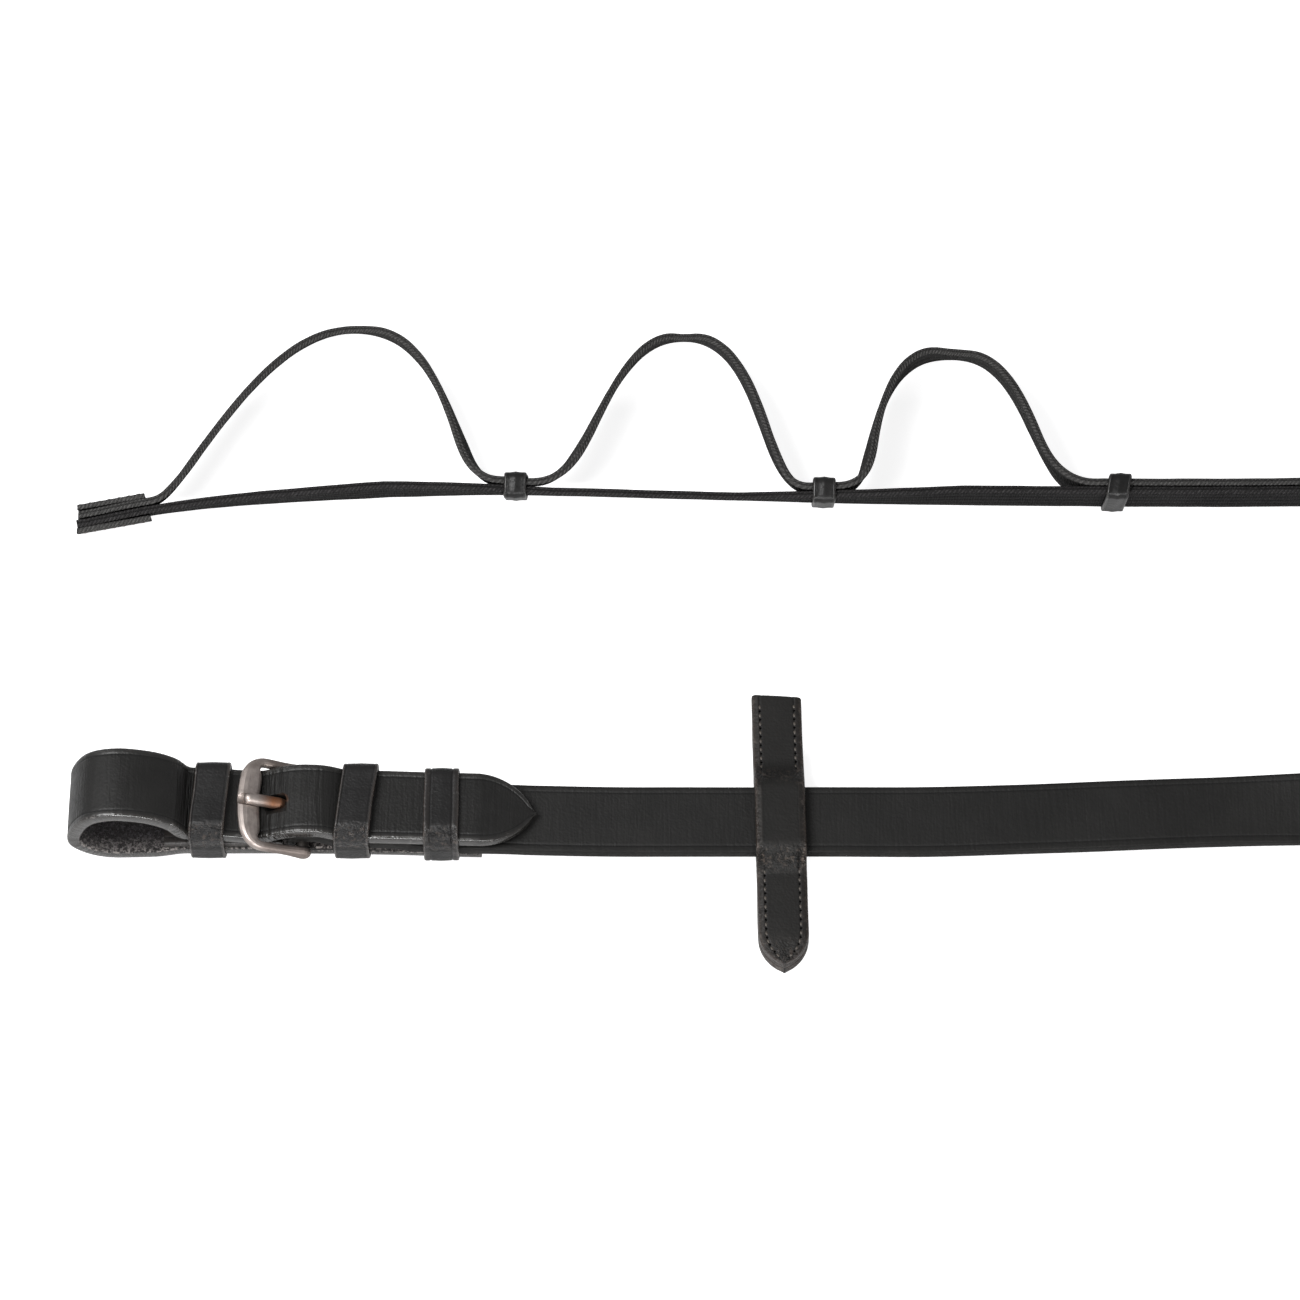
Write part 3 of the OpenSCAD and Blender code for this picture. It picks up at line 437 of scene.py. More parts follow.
def leather(name, base, worn, flesh, rim, rough=0.45, edge_rough=0.2, rust_at=None, line_bump=0.25):
    """Dyed bridle leather: cloudy colour, burnished edges painted lighter (part worn edge colour, part painted
    highlight) with painted glint specks, dark creases, fine grain and cross wrinkles.
    Point attributes steer it: edge, under, crease, polish, wrinkle and scuff."""
    m, t, bsdf = nodes_of(name)
    coord = node(t, "ShaderNodeTexCoord")
    obj, uv = coord.outputs["Object"], coord.outputs["UV"]
    edge, under, crease = attribute(t, "edge"), attribute(t, "under"), attribute(t, "crease")
    polish, wrinkle, scuff_and_glint = attribute(t, "polish"), attribute(t, "wrinkle"), attribute(t, "scuff_and_glint")
    cloud = noise_tex(t, obj, 70, 4, 0.6)
    blotch = noise_tex(t, obj, 300, 5, 0.65, 0.4)
    speck = noise_tex(t, obj, 1300, 3, 0.7)
    col = blend_rgb(t, ramp(t, cloud, 0.35, 0.7, 0.0, 0.5), base, worn)
    col = blend_rgb(t, ramp(t, blotch, 0.52, 0.74, 0.0, 0.35), col, worn)
    gloss_and_sheen = times(t, edge, polish)
    # Burnished edges painted lighter: part worn edge colour, part painted highlight
    col = blend_rgb(t, times(t, gloss_and_sheen, ramp(t, blotch, 0.32, 0.62, 0.3, 1.0)), col, rim)
    # Painted glints: light specks on the burnished edges
    glint_noise = noise_tex(t, obj, 800, 4, 0.75)
    col = blend_rgb(t, times(t, gloss_and_sheen, ramp(t, glint_noise, 0.58, 0.68, 0.0, 0.9)), col, GLINT_RGB)
    col = blend_rgb(t, times(t, crease, 0.6), col, CREASE_RGB)
    fibre = blend_rgb(t, ramp(t, speck, 0.48, 0.66, 0.0, 0.7), flesh, FIBRE_RGB)
    fibre = blend_rgb(t, times(t, edge, ramp(t, speck, 0.47, 0.58, 0.0, 1.0)), fibre, FRAY_RGB)
    col = blend_rgb(t, under, col, fibre)
    # Light specks where rubbed: part real wear, part painted glints
    col = blend_rgb(t, times(t, scuff_and_glint, ramp(t, glint_noise, 0.52, 0.62, 0.0, 0.8)), col, SCUFF_GLINT_RGB)
    if rust_at is not None:
        rust = times(t, near_point(t, obj, rust_at, (1.2, 2.6)), ramp(t, blotch, 0.36, 0.6, 0.0, 0.85))
        col = blend_rgb(t, rust, col, RUST_RGB)
    t.links.new(col, bsdf.inputs["Base Color"])
    dull = left_of(t, polish)
    r = ramp(t, blotch, 0.3, 0.75, rough + 0.07, rough - 0.08)
    r = maths(t, "ADD", r, times(t, under, 0.3))
    r = maths(t, "ADD", r, times(t, dull, 0.12))
    r = blend(t, gloss_and_sheen, r, edge_rough)
    t.links.new(blend(t, scuff_and_glint, r, 0.25), bsdf.inputs["Roughness"])
    gloss = blend(t, times(t, edge, dull), blend(t, gloss_and_sheen, 0.25, 0.75), 0.08)
    t.links.new(gloss, bsdf.inputs["Specular IOR Level"])
    pores = node(t, "ShaderNodeTexVoronoi", {"Vector": obj, "Scale": 1700.0}, feature="SMOOTH_F1")
    lines = noise_tex(t, stretched(t, uv, (1.0, 0.10, 1.0)), 1700, 3, 0.6, 0.25)
    folds = noise_tex(t, stretched(t, uv, (1.0, 0.07, 1.0)), 900, 2, 0.5, 0.5)
    along = noise_tex(t, stretched(t, uv, (0.05, 1.0, 1.0)), 1100, 2, 0.6)
    plain = left_of(t, times(t, gloss_and_sheen, 0.85))
    h = bump(t, times(t, noise_tex(t, obj, 1100, 3, 0.6), plain), 0.35, 0.00025)
    h = bump(t, times(t, pores.outputs["Distance"], plain), 0.25, 0.0002, h)
    h = bump(t, times(t, lines, left_of(t, under)), line_bump, 0.0002, h)
    h = bump(t, times(t, along, edge), 0.3, 0.0002, h)
    h = bump(t, times(t, folds, wrinkle), 1.0, 0.0022, h)
    h = bump(t, times(t, blotch, gloss_and_sheen), 0.5, 0.0003, h)
    h = bump(t, times(t, noise_tex(t, obj, 500, 4, 0.7), scuff_and_glint), 1.0, 0.0030, h)
    h = bump(t, times(t, noise_tex(t, obj, 900, 4, 0.8), under), 1.0, 0.0012, h)
    t.links.new(h, bsdf.inputs["Normal"])
    return m


def webbing(name, base, light):
    """Woven cotton: ribbed faces crossed by the weft, with painted shade in the rib grooves, and braided
    selvedges painted lighter as a painted highlight.
    """
    m, t, bsdf = nodes_of(name)
    coord = node(t, "ShaderNodeTexCoord")
    obj, uv = coord.outputs["Object"], coord.outputs["UV"]
    edge, groove = attribute(t, "edge"), attribute(t, "crease")
    cloud = noise_tex(t, obj, 60, 3)
    speck = noise_tex(t, obj, 1700, 3, 0.7)
    twist = {"Vector": uv, "Scale": 628 / TWIST_PITCH, "Distortion": 2.5, "Detail": 2.0, "Detail Scale": 0.8}
    twist = node(t, "ShaderNodeTexWave", twist, bands_direction="DIAGONAL").outputs["Fac"]
    weft = {"Vector": uv, "Scale": 314 / WEFT_PITCH, "Distortion": 1.0}
    weft = node(t, "ShaderNodeTexWave", weft, bands_direction="X").outputs["Fac"]
    # On the selvedges the braid pattern is painted light, as painted highlights
    pattern = maths(t, "ADD", times(t, twist, edge), times(t, times(t, weft, 0.4), left_of(t, edge)))
    col = blend_rgb(t, times(t, pattern, ramp(t, speck, 0.38, 0.60, 0.1, 1.0)), base, light)
    # Painted highlight: the selvedges lighter overall
    col = blend_rgb(t, times(t, edge, 0.25), col, light)
    # Painted shade in the grooves between the ribs
    col = blend_rgb(t, times(t, groove, 0.8), col, GROOVE_SHADE_RGB)
    col = blend_rgb(t, ramp(t, cloud, 0.35, 0.7, 0.0, 0.15), col, light)
    t.links.new(col, bsdf.inputs["Base Color"])
    bsdf.inputs["Roughness"].default_value = 0.8
    bsdf.inputs["Specular IOR Level"].default_value = 0.12
    h = bump(t, speck, 0.6, 0.0003)
    h = bump(t, pattern, 0.8, 0.0004, h)
    t.links.new(h, bsdf.inputs["Normal"])
    return m


def steel(name):
    """Satin steel: cloudy tone, fine scratches, small pits, brown wear where the tongue works, and painted shade
    toward the heel bar under the strap and on the heel bar's end.
    """
    m, t, bsdf = nodes_of(name)
    obj = node(t, "ShaderNodeTexCoord").outputs["Object"]
    cloud = noise_tex(t, obj, 180, 4, 0.6)
    scratch = noise_tex(t, stretched(t, obj, (1.0, 0.07, 1.0)), 2600, 3, 0.7)
    cross = noise_tex(t, stretched(t, obj, (0.1, 1.0, 0.4)), 2000, 3, 0.7)
    pits = noise_tex(t, obj, 1600, 2, 0.5)
    col = blend_rgb(t, ramp(t, cloud, 0.35, 0.7, 0.0, 1.0), STEEL_DARK, STEEL_LIGHT)
    along = node(t, "ShaderNodeSeparateXYZ", {"Vector": obj}).outputs["X"]
    # Painted shade: the buckle darkens from these stations on, toward the heel bar under the strap
    heel_shade = ramp(t, along, (HEEL_SHADE_X[0] + SHIFT_X) * MM, (HEEL_SHADE_X[1] + SHIFT_X) * MM, 0.0, 0.75)
    col = blend_rgb(t, heel_shade, col, HEEL_SHADE_RGB)
    stain = noise_tex(t, obj, 420, 4, 0.65)
    col = blend_rgb(t, ramp(t, stain, 0.45, 0.75, 0.0, 0.6), col, STAIN_RGB)
    rust = times(t, near_point(t, obj, RUST_AT, (2.0, 6.0)), ramp(t, cloud, 0.35, 0.6, 0.5, 1.0))
    col = blend_rgb(t, rust, col, STEEL_RUST)
    col = blend_rgb(t, near_point(t, obj, BALL_AT, (1.8, 3.2)), col, SHADE_RGB)
    t.links.new(col, bsdf.inputs["Base Color"])
    bsdf.inputs["Metallic"].default_value = 1.0
    r = maths(t, "ADD", ramp(t, scratch, 0.3, 0.7, 0.42, 0.56), times(t, heel_shade, 0.15))
    t.links.new(r, bsdf.inputs["Roughness"])
    h = bump(t, scratch, 0.15, 0.0001)
    h = bump(t, cross, 0.12, 0.0001, h)
    h = bump(t, pits, 0.15, 0.00015, h)
    t.links.new(h, bsdf.inputs["Normal"])
    return m


M_REIN = leather("rein leather", (0.0080, 0.0078, 0.0074), (0.0150, 0.0145, 0.0138), (0.016, 0.014, 0.014),
                 (0.024, 0.022, 0.020), rust_at=RUST_AT)
M_SAFE = leather("safe leather", (0.012, 0.010, 0.009), (0.022, 0.018, 0.016), (0.030, 0.022, 0.018),
                 (0.014, 0.011, 0.009), 0.6, 0.5)
M_KEEPER = leather("keeper leather", (0.008, 0.0078, 0.0078), (0.018, 0.0172, 0.0172), (0.02, 0.017, 0.015),
                   (0.036, 0.028, 0.024), 0.38, 0.22, line_bump=0.08)
M_WRAP = leather("wrap leather", (0.009, 0.0088, 0.0086), (0.018, 0.0172, 0.0166), (0.02, 0.017, 0.015),
                 (0.020, 0.0185, 0.017), 0.36, 0.30, line_bump=0.05)
M_STOP = leather("stop leather", (0.0085, 0.0082, 0.0076), (0.015, 0.014, 0.013), (0.03, 0.024, 0.02),
                 (0.040, 0.027, 0.020), 0.48, 0.36)
M_WEB = webbing("webbing", (0.0035, 0.0033, 0.0034), (0.045, 0.043, 0.0435))
M_TAPE = webbing("tape", (0.014, 0.0136, 0.0134), (0.090, 0.088, 0.086))
M_STEEL = steel("buckle steel")
M_THREAD, _, shader = nodes_of("thread")
shader.inputs["Base Color"].default_value = (0.055, 0.046, 0.038, 1)
shader.inputs["Roughness"].default_value = 0.5
# Painted shade: black pieces stand for the dark inside each awl hole
M_HOLE_SHADE, _, shader = nodes_of("stitch hole shade")
shader.inputs["Base Color"].default_value = (0.002, 0.002, 0.002, 1)
shader.inputs["Roughness"].default_value = 1.0
shader.inputs["Specular IOR Level"].default_value = 0.0

for name in ("buckle_frame", "buckle_tongue"):
    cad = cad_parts[name]
    cad.data.materials.clear()
    cad.data.materials.append(M_STEEL)

UP, FAR = Vector((0, 0, 1)), Vector((0, 1, 0))


def dress(obj, body, slot, *cad):
    """Puts a piece on its body, in place of the plain solids it covers; the slot argument is not used."""
    if cad:
        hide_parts(*cad)
    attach(obj, body)


# ---- Billet ----
NOSE_DIP, POINT_REST, POINT_T = 1.9, 1.6, 1.9
HOLE_X, HOLE_HALF, HOLE_LEAN = (51.0, 59.8), 2.15, 11.0
STRAP_STEP = 0.8


def on_billet(x, z):
    """The lower run of the loop yields a little to the near side."""
    low = ease((YIELD_Z[0] - z) / (YIELD_Z[0] - YIELD_Z[1]))
    share = ease((YIELD_X[0] - x) / (YIELD_X[0] - YIELD_X[1])) * low
    return Vector((x, rein_y(x) - LOOP_YIELD * share, z))


loop_mid, lower_mid = LOOP_H - BILLET_T / 2, LOWER_Z + BILLET_T / 2
top_mid, throat_mid = TOP_Z + BILLET_T / 2, THROAT_Z + BILLET_T / 2
nose_mid, arch_mid = throat_mid - NOSE_DIP, ARCH_Z + BILLET_T / 2
tail_mid = LOWER_Z + TAIL_T / 2
# Middle of the rein where it comes off the fold, as (x, z)
CREST = [(61.8, OVER_HEEL + FOLD_T / 2), (65.2, OVER_HEEL + FOLD_T / 2 - 0.5),
         (68.2, mix(OVER_CHAPE, OVER_HEEL, 0.46) + REIN_T / 2), (71.6, OVER_CHAPE + REIN_T / 2 + 0.12),
         (76.4, OVER_CHAPE + REIN_T / 2)]
CREST_UP = REIN_T / 2 + BILLET_T / 2 + 3 * LAY


def over_crest(i):
    """Middle of the billet square above a point of the crest."""
    a, b = Vector(CREST[max(i - 1, 0)]), Vector(CREST[min(i + 1, len(CREST) - 1)])
    t = (b - a).normalized()
    return (CREST[i][0] - CREST_UP * t.y, CREST[i][1] + CREST_UP * t.x, BILLET_T)


# Middle of the billet as (x, z): the tail under the rein, the loop, the throat, the nose bar and the top run
TAIL = [(x, tail_mid) for x in (TAIL_END, 90, 72, 58)]
LOOP = [(48, lower_mid), (38, lower_mid), (30, lower_mid), (23, BILLET_T / 2 + 0.5), (16, BILLET_T / 2 + 0.1),
        (10.4, BILLET_T / 2 + 0.4), (5.6, BILLET_T / 2 + 2.7), (BILLET_T / 2 + 0.5, LOOP_H * 0.35),
        (3.5, LOOP_H * 0.62), (7.4, loop_mid - 2), (14, loop_mid), (22, loop_mid - 1.8), (27.4, loop_mid - 5.4)]
THROAT = [(31, throat_mid), (37, throat_mid - 0.4), (43, nose_mid + 0.25), (47, nose_mid - 0.25),
          (51, nose_mid - 0.35), (54.8, mix(nose_mid, arch_mid, 0.44)), (58.6, mix(nose_mid, arch_mid, 0.86)),
          (61.8, arch_mid)]
TOP = [(x, top_mid) for x in (79, 86, 95, POINT_START)]
BILLET = [(*q, TAIL_T) for q in TAIL] + [(*q, BILLET_T) for q in LOOP + THROAT]
BILLET += [over_crest(i) for i in (1, 2, 3)] + [(*q, BILLET_T) for q in TOP]

rows = resample([(on_billet(x, z), t, BILLET_W) for x, z, t in smooth_line(BILLET, 8)], STRAP_STEP)
steps = 26
for i in range(1, steps + 1):
    d = POINT_L * (1 - i / steps) ** 2
    x = POINT_START + POINT_L - d
    z = mix(REIN_Z + REIN_T + POINT_REST, top_mid, (d / POINT_L) ** 0.8)
    rows.append((on_billet(x, z), mix(POINT_T, BILLET_T, d / POINT_L), 2 * point_half(d, POINT_L, BILLET_W)))


def billet_polish(s, q):
    """Burnished, and a little less toward the point."""
    return mix(1.0, 0.8, ease((q.x - 100) / 10))


def billet_wrinkle(s, q):
    """Cross folds behind the nose bar, where the strap squeezes into the runner, and inside the loop."""
    if q.z < 8:
        return 0.25
    zones = ((54.5, 7.0, 0.5), (31.0, 4.5, 0.6), (66, 6, 0.2))
    return max(0.06, max(g * (1 - ease(abs(q.x - x) / reach)) for x, reach, g in zones))


billet = sweep("billet_strap", [r[0] for r in rows], [FAR] * len(rows),
               [leather_profile(r[2], r[1], bevel=0.85) for r in rows], M_REIN, warp=wobble(1.0),
               marks={"polish": billet_polish, "wrinkle": billet_wrinkle})


def cut(obj, outline, z0, z1, lean=0.0):
    """Cuts a hole through obj; outline lists its corners (x, y) in stations, its top leans by lean."""
    n = len(outline)
    ends = ((z0, -lean / 2), (z1, lean / 2))
    verts = [Vector((x - shift, y, z)) for z, shift in ends for x, y in outline]
    faces = [tuple(reversed(range(n))), tuple(range(n, 2 * n))]
    faces += [(i, (i + 1) % n, (i + 1) % n + n, i + n) for i in range(n)]
    mesh = bpy.data.meshes.new("cutter")
    mesh.from_pydata([(v + SHIFT) * MM for v in verts], [], faces)
    tool = bpy.data.objects.new("cutter", mesh)
    bpy.context.scene.collection.objects.link(tool)
    mod = obj.modifiers.new("cut", "BOOLEAN")
    mod.operation, mod.object, mod.solver = "DIFFERENCE", tool, "EXACT"
    graph = bpy.context.evaluated_depsgraph_get()
    obj.data = bpy.data.meshes.new_from_object(obj.evaluated_get(graph))
    obj.modifiers.clear()
    bpy.data.objects.remove(tool)


def oblong(x0, x1, y, half):
    """Outline of a slot with round ends."""
    out = []
    for x, start in ((x1 - half, -math.pi / 2), (x0 + half, math.pi / 2)):
        out += [(x + half * math.cos(a), y + half * math.sin(a)) for a in span(start, start + math.pi, 0.3)]
    return out


cut(billet, oblong(*HOLE_X, HEEL_Y, HOLE_HALF), nose_mid - BILLET_T, arch_mid + BILLET_T, HOLE_LEAN)
dress(billet, "rein", "rein_leather", "billet")

# ---- Safe ----
safe_z = LOWER_Z + BILLET_T + LAY + SAFE_T / 2
SAFE_DROP, SAFE_INSET, SAFE_CLEAR = 0.4, 0.3, 0.5
safe_end = HEEL_X - HEEL_D / 2 - FOLD_GAP - REIN_T - SAFE_CLEAR
SAFE = [(SAFE_START, safe_z - SAFE_DROP)] + [(x, safe_z) for x in (30, 38, 47, safe_end)]
path = [Vector((x, rein_y(x), z)) for x, z in smooth_line(SAFE, 10)]
section = leather_profile(REIN_W - 2 * SAFE_INSET, SAFE_T, bevel=0.35)
safe = sweep("safe_flap", path, [FAR] * len(path), [section] * len(path), M_SAFE, warp=wobble(5.0),
             marks=even(polish=1.0, wrinkle=0.2))
dress(safe, "rein", "safe_leather", "buckle_safe")

# ---- Main rein: its thin end, the fold round the heel bar, the flat run, the twist and the turn ----
fold_r0, fold_r1 = HEEL_D / 2 + FOLD_GAP + CHAPE_T / 2, HEEL_D / 2 + FOLD_GAP + FOLD_T / 2
chape_mid = CHAPE_Z + CHAPE_T / 2
rows = smooth_line([(CHAPE_END, chape_mid, CHAPE_T), (77, chape_mid, CHAPE_T), (71, chape_mid, CHAPE_T),
                    (66, mix(chape_mid, HEEL_Z - fold_r0, 0.7), CHAPE_T)], 6)
FOLD_STEPS = 18
for i in range(FOLD_STEPS + 1):
    t = i / FOLD_STEPS
    a, r = math.radians(mix(270, 96, t)), mix(fold_r0, fold_r1, t)
    rows.append((HEEL_X + r * math.cos(a), HEEL_Z + r * math.sin(a), mix(CHAPE_T, FOLD_T, t)))
# Underside of the rein as it steps down off the thin end and the billet's tail
STEPS = [(85, OVER_CHAPE - 0.1), (90, mix(CHAPE_Z, OVER_CHAPE, 0.3)), (STEP_X, CHAPE_Z), (TAIL_END, CHAPE_Z),
         (LEVEL_X, REIN_Z)]
rows += smooth_line([(*CREST[1], FOLD_T)] + [(*q, REIN_T) for q in CREST[2:]]
                    + [(x, z + REIN_T / 2, REIN_T) for x, z in STEPS], 6)


def on_rein(x, z):
    """Under the billet the rein lies a little to the near side."""
    return Vector((x, rein_y(x) - REIN_AHEAD * ease((LEVEL_X - 1 - x) / 18), z))


def polar(c, r, deg):
    a = math.radians(deg)
    return c + Vector((r * math.cos(a), r * math.sin(a), 0))


leather_y = REIN_Y + TURN_SWAY
leather_drop = FLARE_R - leather_y
TURN_X = STRAIGHT_END + math.sqrt((TURN_R + FLARE_R) ** 2 - leather_drop ** 2)
flare = math.degrees(math.atan2(leather_drop, TURN_X - STRAIGHT_END))
TURN_C = Vector((TURN_X, 0, 0))
plan = [Vector((x, rein_y(x), 0)) for x in span(124, STRAIGHT_END - 2, 2)]
plan += [polar(Vector((STRAIGHT_END, leather_y - FLARE_R, 0)), FLARE_R, a) for a in span(90, flare, 1.2)]
plan += [polar(TURN_C, TURN_R, a) for a in span(flare + 181.2, LEATHER_TIP, 1.0)]
plan_s = [s + plan[0].x for s in lengths(plan)]


def twist_at(s):
    return math.radians(90 * ease((s - TWIST_X) / TWIST_L))


REIN_BEVEL = 0.7
path = [on_rein(x, z) for x, z, t in rows]
sides = [FAR] * len(path)
profiles = [leather_profile(REIN_W, t, bevel=REIN_BEVEL) for x, z, t in rows]
plan_t = tangents(plan)
for q, s, t in zip(plan, plan_s, plan_t):
    a = twist_at(s)
    z = (REIN_W / 2 * math.sin(a) + (REIN_T / 2 + REIN_Z) * math.cos(a)
         + LIFT * turn_share(s) * (1 - math.sin(a)))
    path.append(Vector((q.x, q.y, z)))
    sides.append(Vector((-t.y * math.cos(a), t.x * math.cos(a), math.sin(a))))
    half = point_half(plan_s[-1] - s, SPLICE_POINT, REIN_W)
    profiles.append(leather_profile(2 * half, REIN_T, bevel=REIN_BEVEL))
rein = sweep("rein_strap", path, sides, profiles, M_REIN, warp=wobble(9.0, across=0.14, period=26),
             marks=even(polish=0.1, wrinkle=0.05))
# Slot that lets the tongue through the fold
slot_x0, slot_x1, slot_half = HEEL_X - 6.2, HEEL_X + 4.2, 2.6
cut(rein, [(slot_x0, HEEL_Y - slot_half), (slot_x1, HEEL_Y - slot_half), (slot_x1, HEEL_Y + slot_half),
           (slot_x0, HEEL_Y + slot_half)], CHAPE_Z - 1, ARCH_Z + 1)
dress(rein, "rein", "rein_leather", "main_rein")


# ---- Keepers ----
SNUG, KEEPER_CORNER, KEEPER_SAG = 0.2, 2.6, 0.12
CORNER_STEPS = 8


def band(name, place, half_y, z0, z1, width, thick, corner, skew, material, seed, crease, depth, sag=0.0,
         crown=0.10):
    """A closed leather band; its path is the middle surface in the YZ plane, moved to its spot by place."""
    y0, y1 = -half_y, half_y
    path = []
    for cy, cz, a0 in ((y1 - corner, z1 - corner, 0), (y0 + corner, z1 - corner, 90),
                       (y0 + corner, z0 + corner, 180), (y1 - corner, z0 + corner, 270)):
        for i in range(CORNER_STEPS + 1):
            a = math.radians(a0 + 90 * i / CORNER_STEPS)
            path.append(Vector((0, cy + corner * math.cos(a), cz + corner * math.sin(a))))
    dense = []
    for a, b in zip(path, path[1:] + path[:1]):
        n = max(1, int((b - a).length / STRAP_STEP))
        dense += [a.lerp(b, i / n) for i in range(n)]
    moved, sides = [], []
    along = (place(Vector((1, 0, 0))) - place(Vector((0, 0, 0)))).normalized()
    for q in dense:
        drop = sag * math.sin(math.pi * clamp((q.y - y0) / (y1 - y0))) if q.z > (z0 + z1) / 2 else 0.0
        moved.append(place(Vector((q.x + skew * q.y / (2 * half_y), q.y, q.z - drop))))
        sides.append(along)
    section = leather_profile(width, thick, crease=crease, depth=depth, bevel=0.4, crown=crown, groove=0.26,
                              margin=0.08)
    return sweep(name, moved, sides, [section] * len(moved), material, closed=True,
                 warp=wobble(seed, across=0.16, up=0.09, period=8),
                 marks={**even(polish=1.0, wrinkle=0.02), "scuff_and_glint": keeper_rub_and_glint})


def keeper_rub_and_glint(s, q):
    """Rubbed, with painted glints, where a strap keeper turns down on the near side."""
    return 0.4 * ease((HEEL_Y - 6.0 - q.y) / 3) * ease((q.z - 7) / 4) if q.y < 0 else 0.0


def strap_keeper(name, x, top, skew, seed, body, cad, crease, depth):
    half = (BILLET_W + 2 * SNUG + KEEPER_T) / 2
    spot = Vector((x, rein_y(x), 0))
    obj = band(name, lambda q: q + spot, half, KEEPER_T / 2, top + KEEPER_T / 2, KEEPER_W, KEEPER_T,
               KEEPER_CORNER, skew, M_KEEPER, seed, crease, depth, KEEPER_SAG)
    dress(obj, body, "keeper_leather", cad)


strap_keeper("runner_band", RUNNER_X, RUNNER_TOP, RUNNER_SKEW, 21.0, "runner", "runner_keeper", 0.9, 0.06)
strap_keeper("fixed_band", FIXED_X, KEEPER_TOP + FIXED_SLACK, FIXED_SKEW, 24.0, "rein", "fixed_keeper",
             0.9, 0.06)
strap_keeper("end_band", END_X, KEEPER_TOP, 0.0, 27.0, "end_loop", "end_keeper", 1.7, 0.22)

# ---- Rein stop ----
STOP_INSET, STOP_ROUND, STOP_FOOT, SEAM_PITCH = 2.0, 0.6, 0.6, 2.05
BULGE_NEAR, BULGE_SPREAD = 1.4, 4.0
# How far the square end slants, for each millimetre across, and over what length
STOP_SHEAR, SHEAR_L = 0.075, 5
stop_at = Vector((STOP_X, rein_y(STOP_X), 0))
stop_turn = Matrix.Rotation(math.radians(STOP_TILT), 3, "Z")
stop_y0, stop_y1 = -STOP_L * (1 - STOP_SHARE), STOP_L * STOP_SHARE
bulge_half = REIN_W / 2 + STOP_GAP
bulge_foot = bulge_half + REIN_T + STOP_FOOT
front_z = REIN_Z + REIN_T + STOP_GAP


def stop_place(a, y, z):
    return stop_at + stop_turn @ Vector((a, y, z))


def stop_half(y):
    """Half the stop's width: rounded corners at the square end, a point at the other."""
    back = stop_y1 - y
    if back < STOP_ROUND:
        return STOP_W / 2 - STOP_ROUND + math.sqrt(max(0.0, STOP_ROUND ** 2 - (STOP_ROUND - back) ** 2))
    return point_half(y - stop_y0, STOP_POINT, STOP_W)


def bulge(y):
    """Height of the front layer's middle, which rises over the rein."""
    fall = ease((abs(y) - bulge_half + BULGE_NEAR) / (bulge_foot - bulge_half + BULGE_SPREAD))
    return STOP_T + LAY + STOP_T / 2 + (front_z - STOP_T - LAY) * (1 - fall)


def stop_rub_and_glint(s, q):
    """Worn, with painted glints, where the stop bends down beside the rein and round its point."""
    y = (q - stop_at).dot(stop_turn @ FAR)
    across = (q - stop_at).dot(stop_turn @ Vector((1, 0, 0)))
    side = 0.5 + 0.5 * ease((abs(across) - 3.5) / 2)
    low = 1.0 if y < 0 else 0.6
    return side * max(low * (1 - ease(abs(abs(y) - bulge_half - 2.0) / 4.5)), 1 - ease((y - stop_y0) / 9),
                      0.25 * ease(abs(across) - 5))


def stop_layer(name, height, seed, cad):
    """One layer of the stop, with its rings closest at the point and at the rounded corners."""
    ys = [stop_y0 + STOP_POINT * (i / 16) ** 1.6 for i in range(17)]
    ys += span(stop_y0 + STOP_POINT + 0.7, stop_y1 - STOP_ROUND - 0.1, 0.7)
    ys += [stop_y1 - STOP_ROUND * (1 - i / 6) for i in range(1, 7)]
    path = [stop_place(0, y, height(y)) for y in ys]
    side = stop_turn @ Vector((-1, 0, 0))
    sections = [leather_profile(2 * max(0.35, stop_half(y)), STOP_T, crease=STOP_INSET, bevel=0.6,
                                depth=0.18 * ease((abs(y) - bulge_half) / 3)) for y in ys]
    obj = sweep(name, path, [side] * len(path), sections, M_STOP, warp=wobble(seed, across=0.14, period=9),
                marks={**even(polish=0.6, wrinkle=0.0), "scuff_and_glint": stop_rub_and_glint},
                shear=lambda s: STOP_SHEAR * ease((s - STOP_L + SHEAR_L) / SHEAR_L))
    dress(obj, "stop", "stop_leather", cad)


stop_layer("stop_front_layer", bulge, 31.0, "stop_front")
stop_layer("stop_back_layer", lambda y: STOP_T / 2, 34.0, "stop_back")


def stop_seams():
    """Thread pieces, and between them black pieces painted as the shade in each awl hole, along both long sides
    and round the point.
    """
    threads, hole_shades = [], []
    for side in (-1, 1):
        line = []
        for y in span(stop_y0 + 1.6, stop_y1 - 2.2, 0.25):
            half = stop_half(y) - STOP_INSET
            if half > 0.3 and abs(y) > bulge_foot + 0.6:
                line.append(stop_place(side * half, y, bulge(y) + STOP_T / 2 - 0.06))
        s, turn = 0.0, 0
        for a, b in zip(line, line[1:]):
            if (b - a).length > 2:
                continue
            s += (b - a).length
            if s >= SEAM_PITCH / 2:
                s, turn = 0.0, turn + 1
                (threads if turn % 2 else hole_shades).append((b, b - a, UP))
    return threads, hole_shades


threads, hole_shades = stop_seams()
dress(stitches("stop_stitches", threads, 1.35, 0.34, M_THREAD), "stop", "stop_leather")
# Painted shade: a black piece sunk in each awl hole
dress(stitches("stop_awl_hole_shade", hole_shades, 0.75, 0.36, M_HOLE_SHADE), "stop", "stop_leather")

# ---- Hand web: along the far side, then round the turn to the splice ----
WEB_INSET = 0.7
web_fine = smooth_line(WEB_LINE, 12)


